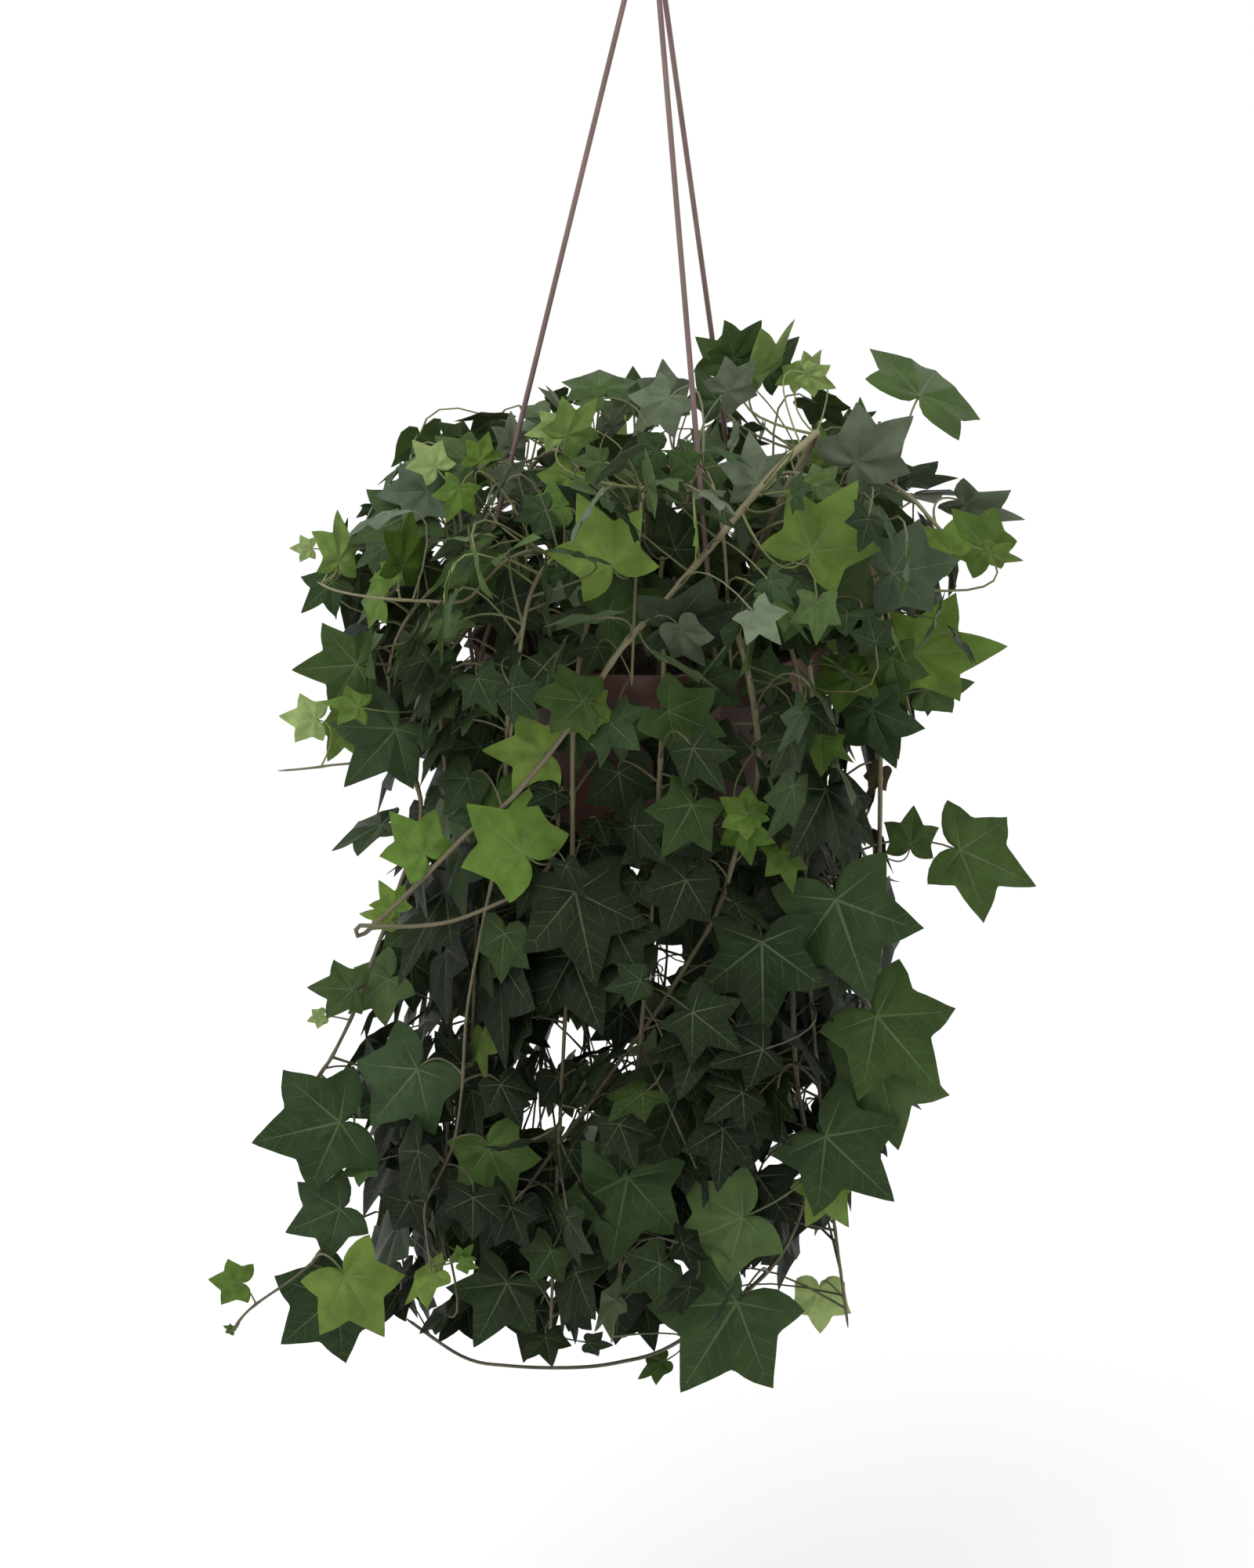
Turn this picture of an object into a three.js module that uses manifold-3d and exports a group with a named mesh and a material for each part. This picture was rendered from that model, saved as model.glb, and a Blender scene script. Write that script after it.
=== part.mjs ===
// Potted ivy: a hanging pot on three strands, filled with trailing English ivy.
// Millimetres, +Z up. The origin is where the hook bears on the rod that it hangs from, and -Y is the front.
import * as THREE from "three";
import Module from "manifold-3d";
import { mergeVertices } from "three/addons/utils/BufferGeometryUtils.js";
import { ConvexGeometry } from "three/addons/geometries/ConvexGeometry.js";

const wasm = await Module();
wasm.setup();

// Driving dimensions of the pot and its hanger
const RIM_RADIUS = 100;
const RIM_Z = -420;
const BAND_HEIGHT = 22;
const BAND_FOOT_RADIUS = 97;
const BAND_STEP = 2;
const NECK_RADIUS = 87;
const BASE_RADIUS = 50;
const BASE_EDGE = 3;
const POT_HEIGHT = 118;
const WALL = 2.4;
const ROUND_SIDES = 24;
const GAP = 0.35;
const HOLE_GAP = 0.5;
const SOIL_DROP = 11;
const DRAIN_HOLES = 5;
const DRAIN_RADIUS = 4;
const DRAIN_RING = 30;

const HOOK_WIRE = 2.5;
const HOOK_BEND = 14.5;
const HOOK_SWEEP = 196;
const HUB_TOP = -44;
const HUB_THICK = 5;
const HUB_RADIUS = 10.5;
const HUB_EDGE = 1;
const STRAND_RADIUS = 1.5;
const STRAND_RING = 6.4;
const STRAND_HEAD = 2.4;
const HEAD_HEIGHT = 2.2;
const STRANDS = { left: 186, front_right: -70, back_right: 54 };
const CLIP_WIDTH = 8;
const CLIP_THICK = 2;
const CLIP_RISE = 7;

// Driving dimensions of the ivy
const BLADE = 0.7;
const STALK_RADIUS = 0.9;
const STEM_SIDES = 4;
const STEM_STEP = { leading: 36, crown: 38, trailer: 64 };
const LEAF_SPACING = { leading: 66, crown: 50, trailer: 32 };
const ROOT_DEPTH = 22;
const SHORTEST_STALK = 9;
const LONGEST_STALK = 92;
const LONGEST_STRAIGHT = 18;

const IVY_GREEN = 0x3b5a35;
const HANGER_BROWN = 0x6e5555;

// The viewer stands in front of the pot and a little above it. Places read from the front are given as
// across and up from the centre of the rim, on a plane square to the sight line, and near, towards the viewer.
// Below the rim, near is measured from a plane that drops nearly plumb, as the stems hang.
const VIEW_TILT = THREE.MathUtils.degToRad(15);
const VIEW_DISTANCE = 1600;
const VIEW_CENTRE = { across: -12.4, up: -83.5 };
const HANG = 0.24;
const UP = new THREE.Vector3(0, 0, 1);
const VIEW_RIGHT = new THREE.Vector3(1, 0, 0);
const VIEW_UP = new THREE.Vector3(0, Math.sin(VIEW_TILT), Math.cos(VIEW_TILT));
const VIEW_NEAR = new THREE.Vector3(0, -Math.cos(VIEW_TILT), Math.sin(VIEW_TILT));
const RIM_CENTRE = new THREE.Vector3(0, 0, RIM_Z);

const vec = (x, y, z) => new THREE.Vector3(x, y, z);
const along = (point, direction, distance) => point.clone().addScaledVector(direction, distance);
const unit = (v) => v.clone().normalize();
const cross = (a, b) => new THREE.Vector3().crossVectors(a, b);
const mix = (a, b, t) => a.clone().lerp(b, t);
const radians = THREE.MathUtils.degToRad;

const onSight = (x, y, depth) =>
  along(along(along(RIM_CENTRE, VIEW_RIGHT, x), VIEW_UP, y), VIEW_NEAR, depth);
const EYE = onSight(VIEW_CENTRE.across, VIEW_CENTRE.up, VIEW_DISTANCE);

function seen(across, up, near) {
  const depth = near + HANG * Math.min(up, 0);
  const scale = (VIEW_DISTANCE - depth) / VIEW_DISTANCE;
  const x = VIEW_CENTRE.across + (across - VIEW_CENTRE.across) * scale;
  const y = VIEW_CENTRE.up + (up - VIEW_CENTRE.up) * scale;
  return onSight(x, y, depth);
}

// Where a point shows on the front view, the reverse of seen
function shown(point) {
  const from = point.clone().sub(RIM_CENTRE);
  const scale = VIEW_DISTANCE / (VIEW_DISTANCE - from.dot(VIEW_NEAR));
  const across = VIEW_CENTRE.across + (from.dot(VIEW_RIGHT) - VIEW_CENTRE.across) * scale;
  const up = VIEW_CENTRE.up + (from.dot(VIEW_UP) - VIEW_CENTRE.up) * scale;
  return [across, up];
}

// Seeded random numbers between 0 and 1, one stream for each seed
function randomStream(seed) {
  let state = seed >>> 0;
  return () => {
    state = (state + 0x6d2b79f5) >>> 0;
    let t = Math.imul(state ^ (state >>> 15), state | 1);
    t ^= t + Math.imul(t ^ (t >>> 7), t | 61);
    return ((t ^ (t >>> 14)) >>> 0) / 4294967296;
  };
}
const between = (random, low, high) => low + (high - low) * random();

// Stems read from the front, as across, up and near, each leading on from its root in the soil
const LEADING_STEMS = [
  {
    name: "stem_long_diagonal", radius: 2.0, root: [46, 22],
    route: [[70, 67, 28], [88, 101, 52], [95, 115, 72], [90, 111, 88], [70, 92, 102], [37, 53, 120],
      [10, 21, 128], [-15, -6, 131], [-37, -39, 133], [-57, -67, 133], [-83, -97, 129],
      [-101, -110, 126], [-132, -141, 119], [-153, -161, 115], [-164, -170, 115], [-165, -164, 120],
      [-153, -164, 123], [-132, -164, 124], [-111, -161, 124], [-90, -153, 124], [-72, -144, 122],
      [-58, -132, 118], [-53, -117, 113], [-51, -100, 107]],
  },
  {
    name: "stem_second_diagonal", radius: 1.7, root: [34, -38],
    route: [[43, 16, 96], [54, -12, 114], [61, -52, 118], [61, -83, 116], [50, -119, 112],
      [39, -155, 108], [23, -183, 104], [3, -214, 100], [-17, -241, 98], [-39, -272, 96],
      [-61, -301, 94], [-77, -323, 90]],
  },
  {
    name: "stem_bottom_loop", radius: 1.8, root: [56, -30],
    route: [[76, 23, 84], [89, -8, 96], [94, -61, 92], [90, -119, 82], [82, -181, 76], [83, -243, 72],
      [90, -292, 70], [88, -319, 70], [76, -348, 70], [54, -372, 70], [12, -402, 66], [-17, -411, 62],
      [-44, -414, 60], [-79, -413, 58], [-105, -408, 56], [-138, -386, 54]],
  },
  {
    name: "stem_left_trailer", radius: 1.5, root: [-56, -14],
    route: [[-75, 19, 50], [-106, 10, 66], [-126, -21, 66], [-135, -66, 60], [-129, -101, 58],
      [-143, -146, 54], [-155, -179, 54], [-166, -210, 54], [-179, -237, 56], [-189, -254, 56],
      [-192, -283, 54], [-189, -319, 58], [-185, -345, 62], [-197, -360, 60], [-225, -380, 54],
      [-237, -394, 50]],
  },
  {
    name: "stem_right_plumb", radius: 1.8, root: [66, 2],
    route: [[81, 32, 30], [107, 32, 50], [124, 10, 60], [129, -21, 64], [131, -61, 64], [130, -132, 62],
      [124, -177, 64], [115, -226, 68], [102, -270, 72]],
  },
  {
    name: "stem_left_arm", radius: 1.3, root: [-34, -34],
    route: [[-41, 36, 60], [-61, 48, 76], [-79, 44, 84], [-93, 31, 88], [-105, 20, 88], [-126, 20, 86],
      [-155, 22, 78], [-177, 26, 68], [-188, 31, 60]],
  },
  {
    name: "stem_right_arm", radius: 1.7, root: [68, 26],
    route: [[81, 54, 10], [107, 76, 24], [127, 89, 38], [147, 80, 48], [161, 65, 52], [175, 50, 54]],
  },
  {
    name: "stem_young_shoot", radius: 1.3, root: [-50, -48],
    route: [[-61, 14, 88], [-77, -8, 108], [-80, -48, 112], [-83, -106, 110], [-94, -163, 106],
      [-103, -212, 104], [-106, -257, 108], [-111, -288, 110], [-121, -310, 112], [-127, -323, 112],
      [-126, -341, 110], [-123, -360, 108]],
  },
  {
    name: "stem_left_twig", radius: 1.2, root: [-70, 8],
    route: [[-86, 36, 20], [-115, 32, 36], [-137, 10, 48], [-147, -17, 54], [-146, -52, 56],
      [-159, -69, 54], [-181, -73, 50], [-197, -75, 48], [-210, -76, 46]],
  },
];

// Leaves read from the front: name, the joint of blade and stalk, the tip of the middle lobe, how near, the
// lean of the tip towards the viewer and the roll about the midrib in degrees, the number of lobes, the colour
const LEADING_LEAVES = [
  ["top right oblique", [153, 136], [167, 158], 45, -62, 0, 5, "mid"],
  ["top right spike", [120, 112], [121, 136], 18, 0, 55, 3, "bright"],
  ["top right dark", [117, 99], [150, 123], 62, 10, 25, 5, "dark"],
  ["top right pale stub", [99, 101], [97, 123], 55, 0, 50, 3, "bright"],
  ["bright right", [92, 48], [119, 89], 136, 0, 0, 5, "bright"],
  ["veined right", [138, 36], [177, 43], 100, 0, 10, 5, "dark"],
  ["right edge a", [191, 50], [172, 73], 40, 0, 15, 5, "mid"],
  ["right edge b", [179, 76], [213, 63], 22, -10, 58, 5, "grey"],
  ["right edge c", [193, 48], [212, 42], 44, 0, 50, 3, "bright"],
  ["right edge d", [147, 91], [175, 87], 10, 0, 62, 5, "grey"],
  ["right edge e", [171, 47], [152, 64], 56, 0, 20, 5, "bright"],
  ["right wing", [150, -9], [202, -8], 34, 10, 25, 5, "mid"],
  ["right wing low", [157, -30], [185, -27], 30, 0, 30, 3, "mid"],
  ["right under wing", [137, -12], [144, -40], 50, 0, 15, 5, "dark"],
  ["right hang", [126, -41], [139, -76], 46, 0, 30, 5, "dark"],
  ["right dry", [131, -76], [124, -90], 64, 0, 40, 3, "dry"],
  ["right star", [148, -118], [150, -96], 42, 0, 0, 5, "mid"],
  ["right far", [176, -121], [223, -140], 36, -5, -28, 5, "mid"],
  ["big right a", [106, -149], [125, -207], 118, 5, 8, 5, "dark"],
  ["big right b", [64, -173], [65, -228], 126, 5, 0, 5, "dark"],
  ["big right c", [129, -215], [165, -256], 100, 10, -8, 5, "mid"],
  ["big right c low", [130, -240], [140, -291], 86, 5, 15, 5, "mid"],
  ["big right d", [100, -283], [139, -320], 104, 5, 0, 5, "mid"],
  ["big right d low", [97, -308], [115, -335], 86, 0, -20, 5, "bright"],
  ["front low mid", [-12, -306], [-22, -357], 128, 10, 0, 5, "mid"],
  ["front low bright", [53, -329], [11, -347], 136, 0, 0, 5, "bright"],
  ["bottom right", [50, -377], [18, -428], 122, 5, 0, 5, "dark"],
  ["hanging bright", [97, -370], [97, -396], 60, 0, 0, 3, "bright"],
  ["left low a", [-175, -275], [-226, -287], 62, 0, 0, 5, "dark"],
  ["left low b", [-175, -324], [-207, -338], 74, 0, 0, 5, "dark"],
  ["left low bright", [-172, -362], [-149, -398], 98, 0, 0, 5, "bright"],
  ["left low behind", [-176, -373], [-210, -402], 76, 0, 0, 5, "dark"],
  ["far left small", [-231, -366], [-250, -364], 52, 0, 0, 5, "mid"],
  ["far left bud", [-236, -393], [-241, -390], 50, 0, 40, 3, "bright"],
  ["left bright", [-127, -123], [-147, -99], 122, 0, 0, 5, "bright"],
  ["centre bright", [-71, -123], [-103, -95], 130, 0, 0, 5, "bright"],
  ["left small bright", [-144, -154], [-153, -138], 116, 0, 0, 5, "bright"],
  ["left small bright low", [-147, -160], [-164, -156], 108, 0, 40, 3, "bright"],
  ["left edge spear", [-151, -107], [-181, -119], 50, 0, 66, 5, "dark"],
  ["left cluster a", [-143, -52], [-173, -87], 70, 0, -10, 5, "mid"],
  ["left cluster b", [-165, -16], [-203, -19], 62, 0, 0, 5, "mid"],
  ["left cluster c", [-189, -47], [-210, -45], 50, 0, 0, 5, "bright"],
  ["left cluster d", [-164, -40], [-185, -36], 78, 0, 35, 5, "bright"],
  ["left cluster e", [-171, -49], [-183, -71], 64, 0, 20, 3, "mid"],
  ["left star", [-192, 50], [-204, 50], 40, 0, 0, 5, "bright"],
  ["left pale", [-176, 43], [-174, 72], 52, 0, 45, 5, "bright"],
  ["left low pale", [-179, 37], [-190, 30], 54, 0, 40, 3, "bright"],
  ["left small dark", [-179, 31], [-198, 14], 44, 0, 25, 5, "dark"],
  ["left upper dark", [-133, 70], [-170, 54], 50, 5, 25, 5, "mid"],
  ["left bright fold", [-140, 40], [-132, 73], 80, 0, 52, 5, "bright"],
  ["left bright fold low", [-142, 38], [-159, 32], 76, 0, 40, 3, "bright"],
  ["left grey", [-125, 82], [-154, 81], 46, 10, 25, 5, "grey"],
  ["left crown a", [-121, 96], [-134, 112], 60, 0, 15, 5, "pale"],
  ["left crown b", [-101, 98], [-121, 115], 50, 0, 30, 5, "pale"],
  ["left crown c", [-96, 99], [-90, 116], 58, 0, 20, 5, "mid"],
  ["left crown star", [-107, 84], [-115, 64], 84, 0, 0, 5, "bright"],
  ["left crown grey", [-83, 89], [-69, 99], 66, 0, 25, 5, "grey"],
  ["left top small", [-78, 107], [-77, 128], 30, 0, 40, 5, "grey"],
  ["butterfly", [-28, 139], [-28, 155], 30, -60, 0, 5, "mid"],
  ["butterfly low", [-29, 135], [-44, 133], 34, -30, 40, 3, "mid"],
  ["pale top a", [-47, 114], [-28, 134], 82, 0, 30, 5, "pale"],
  ["pale top b", [-50, 118], [-71, 115], 74, 0, 30, 5, "pale"],
  ["top lance", [-22, 118], [-10, 133], 60, 0, 60, 3, "grey"],
  ["grey top a", [11, 135], [-10, 114], 52, 0, 20, 5, "grey"],
  ["grey top b", [10, 133], [9, 158], 40, 0, 25, 5, "grey"],
  ["grey top c", [39, 133], [26, 152], 34, 0, 10, 5, "dark"],
  ["crown top a", [44, 155], [26, 170], 16, 0, 0, 5, "mid"],
  ["crown top b", [48, 157], [65, 179], 24, 0, 25, 5, "mid"],
  ["crown top c", [66, 151], [86, 170], 30, 0, 10, 5, "dark"],
  ["crown top d", [59, 148], [86, 177], 40, 0, 66, 5, "pale"],
  ["crown top e", [44, 139], [62, 156], 48, 0, 30, 5, "grey"],
  ["cluster top a", [89, 150], [99, 162], 60, 0, 40, 5, "pale"],
  ["cluster top b", [90, 148], [106, 140], 66, 0, 20, 3, "pale"],
  ["cluster top c", [86, 149], [71, 143], 62, 0, 30, 3, "bright"],
  ["front dark crown", [61, 86], [57, 117], 88, 0, 5, 5, "dark"],
  ["front dark crown low", [54, 89], [72, 72], 84, 0, 40, 5, "dark"],
  ["bright left", [-21, 40], [-41, 82], 132, 0, 0, 5, "bright"],
  ["veined centre", [15, 49], [36, 79], 104, 0, 5, 5, "dark"],
  ["veined centre low", [23, 43], [49, 31], 98, 0, 30, 5, "dark"],
  ["dark crown left", [-59, 71], [-77, 66], 94, 0, 15, 5, "dark"],
  ["dark left front", [-83, 20], [-58, 3], 98, 5, 10, 5, "dark"],
  ["under bright", [-23, 11], [10, 25], 104, 0, 15, 5, "mid"],
  ["grey point", [12, 6], [65, 15], 116, 0, 56, 5, "grey"],
  ["grey point low", [18, 4], [31, -18], 112, 0, 30, 3, "grey"],
  ["rim left", [-49, -17], [-77, -16], 108, 0, 10, 5, "dark"],
  ["rim light", [-37, -37], [-70, -32], 122, 0, 25, 5, "mid"],
  ["stem light", [-59, -66], [-95, -64], 130, 0, 5, 5, "mid"],
  ["left under arc", [-95, -62], [-120, -66], 88, 0, 0, 5, "dark"],
  ["front point", [11, -42], [44, -58], 112, 0, 25, 5, "mid"],
  ["mid right light", [117, -22], [84, -31], 94, 0, 38, 5, "mid"],
  ["mid right dark", [70, -25], [49, -12], 98, 0, 0, 5, "dark"],
  ["small bright a", [57, -102], [40, -91], 128, 0, 0, 5, "bright"],
  ["small bright b", [59, -101], [69, -104], 124, 0, 0, 3, "bright"],
  ["small bright c", [54, -106], [57, -131], 126, 0, 20, 5, "bright"],
  ["front dark a", [-17, -77], [-12, -108], 104, 0, 10, 5, "dark"],
  ["loop leaf a", [-34, -400], [-20, -402], 66, 0, 30, 3, "dark"],
  ["loop leaf b", [8, -411], [-7, -420], 64, 0, 40, 3, "mid"],
  ["low dark big", [-80, -366], [-100, -404], 72, 0, 0, 5, "dark"],
  ["low mid a", [-91, -289], [-77, -323], 110, 0, 10, 5, "mid"],
  ["low mid b", [-131, -245], [-159, -278], 92, 0, 5, 5, "mid"],
  ["low small a", [-160, -299], [-175, -305], 80, 0, 25, 5, "mid"],
  ["low edge leaf", [-121, -361], [-140, -377], 112, 0, 55, 5, "bright"],
  ["low spark a", [-107, -353], [-99, -344], 106, 0, 20, 3, "bright"],
  ["low spark b", [-106, -355], [-96, -358], 108, 0, 30, 3, "bright"],
  ["left waist a", [-168, -200], [-194, -198], 54, 0, 15, 5, "mid"],
  ["left waist b", [-147, -194], [-172, -213], 66, 0, 30, 5, "bright"],
  ["left waist c", [-185, -215], [-194, -218], 58, 0, 0, 3, "bright"],
];

// The crowd round the leading stems, by rule: crown stems arch out over the rim, trailers hang past it
const CROWN_STEMS = 13;
const TRAILERS = 12;

// Lobed outlines, from one basal lobe round to the other, notches and tips in turn: angle off the midrib in
// degrees, reach as a share of the midrib, and lift off the blade's plane as a share of it
const FIVE_LOBES = [[116, 0.56, -0.02], [86, 0.49, 0.03], [54, 0.8, -0.06], [27, 0.62, 0.03],
  [0, 1, -0.1], [-27, 0.62, 0.03], [-54, 0.8, -0.06], [-86, 0.49, 0.03], [-116, 0.56, -0.02]];
const THREE_LOBES = [[108, 0.5, 0], [51, 0.78, -0.05], [25, 0.6, 0.03], [0, 1, -0.08], [-25, 0.6, 0.03],
  [-51, 0.78, -0.05], [-108, 0.5, 0]];
const SHALLOW_LOBES = [[110, 0.5, 0], [58, 0.74, -0.05], [0, 1, -0.08], [-58, 0.74, -0.05], [-110, 0.5, 0]];
const SHALLOW = 1;
const OUTLINES = { 5: FIVE_LOBES, 3: THREE_LOBES, [SHALLOW]: SHALLOW_LOBES };

// Clearances kept between the middle faces or axes of neighbours
const BLADE_CLEAR = 1.6;
const STALK_CLEAR = 2.6;
const STEM_CLEAR = 1.6;

// A leaf's frame: joint, rib towards the tip, face out of the upper side, side across, reach along the midrib
function leafFrame(joint, rib, facing, roll, reach) {
  const across = unit(cross(rib, facing));
  const face = cross(across, rib);
  const turned = face.clone().applyAxisAngle(rib, roll);
  return { joint, rib, face: turned, side: cross(rib, turned), reach };
}

function outlinePoints(leaf, offset) {
  return OUTLINES[leaf.lobes].map(([angle, share, lift]) => {
    const turn = radians(angle);
    const out = leaf.reach * share;
    return along(leaf.joint, leaf.rib, out * Math.cos(turn))
      .addScaledVector(leaf.side, out * Math.sin(turn))
      .addScaledVector(leaf.face, leaf.reach * lift + offset);
  });
}

// The stalk runs from the joint to its foot on the stem, a bent one first straight back from the blade
function stalkPoints(leaf) {
  if (!leaf.bent) {
    return [leaf.joint.clone(), leaf.foot.clone()];
  }
  const length = leaf.joint.distanceTo(leaf.foot);
  const control = along(leaf.joint, leaf.rib, -0.6 * length);
  const middle = mix(mix(leaf.joint, control, 0.5), mix(control, leaf.foot, 0.5), 0.5);
  return [leaf.joint.clone(), middle, leaf.foot.clone()];
}

// Clearance: each thing has thin edges, tested against the inflated skins of its neighbours
const placed = [];

function addTriangle(skin, a, b, c) {
  skin.push([a.x, a.y, a.z, b.x, b.y, b.z, c.x, c.y, c.z]);
}

function addEdge(edges, a, b) {
  edges.push([a.x, a.y, a.z, b.x, b.y, b.z]);
}

function addSquareTube(skin, edges, from, to, skinRadius, edgeRadius) {
  const direction = unit(to.clone().sub(from));
  const aside = Math.abs(direction.z) > 0.9 ? VIEW_RIGHT : UP;
  const first = unit(cross(direction, aside));
  const second = cross(direction, first);
  const turns = [[1, 0], [0, 1], [-1, 0], [0, -1]];
  const ring = (centre, radius) =>
    turns.map(([u, v]) => along(along(centre, first, radius * u), second, radius * v));
  const low = ring(from, skinRadius);
  const high = ring(to, skinRadius);
  for (let i = 0; i < 4; i += 1) {
    const j = (i + 1) % 4;
    addTriangle(skin, low[i], low[j], high[j]);
    addTriangle(skin, low[i], high[j], high[i]);
  }
  if (edgeRadius === 0) {
    addEdge(edges, from, to);
    return;
  }
  const lowEdge = ring(from, edgeRadius);
  const highEdge = ring(to, edgeRadius);
  for (let i = 0; i < 4; i += 1) {
    addEdge(edges, lowEdge[i], highEdge[i]);
  }
}

function withReach(thing) {
  let low = [Infinity, Infinity, Infinity];
  let high = [-Infinity, -Infinity, -Infinity];
  const grow = (numbers) => numbers.forEach((value, i) => {
    low[i % 3] = Math.min(low[i % 3], value);
    high[i % 3] = Math.max(high[i % 3], value);
  });
  thing.edges.forEach(grow);
  thing.skin.forEach(grow);
  thing.low = low;
  thing.high = high;
  return thing;
}

function leafBody(leaf, stem) {
  const edges = [];
  const skin = [];
  const middle = outlinePoints(leaf, 0);
  const last = middle.length - 1;
  addEdge(edges, leaf.joint, middle[0]);
  middle.forEach((point, i) => {
    addEdge(edges, point, i < last ? middle[i + 1] : leaf.joint);
    if (i > 0 && i < last) {
      addEdge(edges, leaf.joint, point);
    }
  });
  const grown = (offset) => outlinePoints({ ...leaf, reach: leaf.reach + BLADE_CLEAR }, offset);
  const back = along(leaf.joint, leaf.rib, -BLADE_CLEAR);
  const topApex = along(back, leaf.face, BLADE_CLEAR);
  const lowApex = along(back, leaf.face, -BLADE_CLEAR);
  const top = [topApex, ...grown(BLADE_CLEAR)];
  const bottom = [lowApex, ...grown(-BLADE_CLEAR)];
  for (let i = 0; i < top.length; i += 1) {
    const j = (i + 1) % top.length;
    addTriangle(skin, top[i], bottom[i], top[j]);
    addTriangle(skin, top[j], bottom[i], bottom[j]);
    if (i > 0 && j > 0) {
      addTriangle(skin, topApex, top[i], top[j]);
      addTriangle(skin, lowApex, bottom[j], bottom[i]);
    }
  }
  const blade = withReach({ edges, skin, kind: "blade", stem });
  const stalkEdges = [];
  const stalkSkin = [];
  const stalk = stalkPoints(leaf);
  stalk.slice(1).forEach((point, k) => addSquareTube(stalkSkin, stalkEdges, stalk[k], point, STALK_CLEAR, 0));
  const stalkBody = withReach({ edges: stalkEdges, skin: stalkSkin, kind: "stalk", stem });
  return [blade, stalkBody];
}

function stemBodies(stem) {
  const bodies = [];
  for (let i = 0; i + 1 < stem.nodes.length; i += 1) {
    const edges = [];
    const skin = [];
    addSquareTube(skin, edges, stem.nodes[i], stem.nodes[i + 1], stem.radius + STEM_CLEAR, stem.radius * 0.8);
    bodies.push(withReach({ edges, skin, kind: "stem", stem: stem.name }));
  }
  return bodies;
}

function pierces(edge, triangle) {
  const [px, py, pz, qx, qy, qz] = edge;
  const [ax, ay, az, bx, by, bz, cx, cy, cz] = triangle;
  const dx = qx - px, dy = qy - py, dz = qz - pz;
  const ux = bx - ax, uy = by - ay, uz = bz - az;
  const vx = cx - ax, vy = cy - ay, vz = cz - az;
  const hx = dy * vz - dz * vy, hy = dz * vx - dx * vz, hz = dx * vy - dy * vx;
  const det = ux * hx + uy * hy + uz * hz;
  if (Math.abs(det) < 1e-9) return false;
  const sx = px - ax, sy = py - ay, sz = pz - az;
  const u = (sx * hx + sy * hy + sz * hz) / det;
  if (u < 0 || u > 1) return false;
  const kx = sy * uz - sz * uy, ky = sz * ux - sx * uz, kz = sx * uy - sy * ux;
  const v = (dx * kx + dy * ky + dz * kz) / det;
  if (v < 0 || u + v > 1) return false;
  const t = (vx * kx + vy * ky + vz * kz) / det;
  return t >= 0 && t <= 1;
}

const apart = (one, other) => [0, 1, 2].some((i) => one.low[i] > other.high[i] || other.low[i] > one.high[i]);
const cuts = (edges, skin) => edges.some((edge) => skin.some((triangle) => pierces(edge, triangle)));
const meets = (one, other) => cuts(one.edges, other.skin) || cuts(other.edges, one.skin);
const touches = (one, other) => !apart(one, other) && meets(one, other);

// A stalk may meet its own stem, and the stems of a stem's own run may meet
function mayMeet(one, other) {
  if (one.stem !== other.stem) return false;
  return one.kind !== "blade" && other.kind !== "blade";
}

const isClear = (bodies) =>
  bodies.every((one) => placed.every((other) => mayMeet(one, other) || !touches(one, other)));

// The pot, its soil and the ground inside the rim, tested along edges
function potRadius(height) {
  if (height > -BAND_HEIGHT) {
    return RIM_RADIUS;
  }
  return NECK_RADIUS + (BASE_RADIUS - NECK_RADIUS) * ((-BAND_HEIGHT - height) / (POT_HEIGHT - BAND_HEIGHT));
}

const POT_CLEAR = 2.2;

function missesPot(point) {
  const height = point.z - RIM_Z;
  const radius = Math.hypot(point.x, point.y);
  if (height > POT_CLEAR || height < -POT_HEIGHT - POT_CLEAR) {
    return true;
  }
  const inside = radius < RIM_RADIUS - 2 * WALL - POT_CLEAR && height > POT_CLEAR - SOIL_DROP;
  return inside || radius > potRadius(height) + POT_CLEAR;
}

function edgesMissPot(bodies) {
  const stops = [0, 0.25, 0.5, 0.75, 1];
  const misses = (edge) => {
    const [px, py, pz, qx, qy, qz] = edge;
    return stops.every((t) => missesPot(mix(vec(px, py, pz), vec(qx, qy, qz), t)));
  };
  return bodies.every((body) => body.edges.every(misses));
}

// The front view's outline of the whole plant, as across and up, which the crowd stays inside
const SILHOUETTE = [[-140, 120], [-100, 128], [-70, 136], [-50, 158], [-20, 162], [14, 162], [24, 178],
  [62, 182], [90, 174], [104, 158], [106, 130], [124, 138], [148, 126], [148, 98], [176, 90], [206, 66],
  [184, 40], [166, 10], [196, -8], [178, -30], [148, -57], [138, -77], [126, -98], [148, -100],
  [196, -112], [208, -134], [148, -134], [144, -168], [126, -199], [160, -230], [162, -256],
  [144, -283], [130, -310], [112, -332], [84, -350], [78, -372], [80, -412], [50, -394], [24, -420],
  [-12, -416], [-56, -414], [-100, -410], [-140, -390], [-164, -402], [-198, -392], [-190, -350],
  [-202, -310], [-190, -306], [-220, -286], [-208, -254], [-186, -248], [-168, -222], [-188, -200],
  [-160, -178], [-164, -168], [-150, -138], [-176, -114], [-146, -92], [-172, -86], [-180, -66],
  [-206, -52], [-200, -18], [-186, 10], [-194, 18], [-190, 54], [-172, 72], [-156, 86]];

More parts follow.
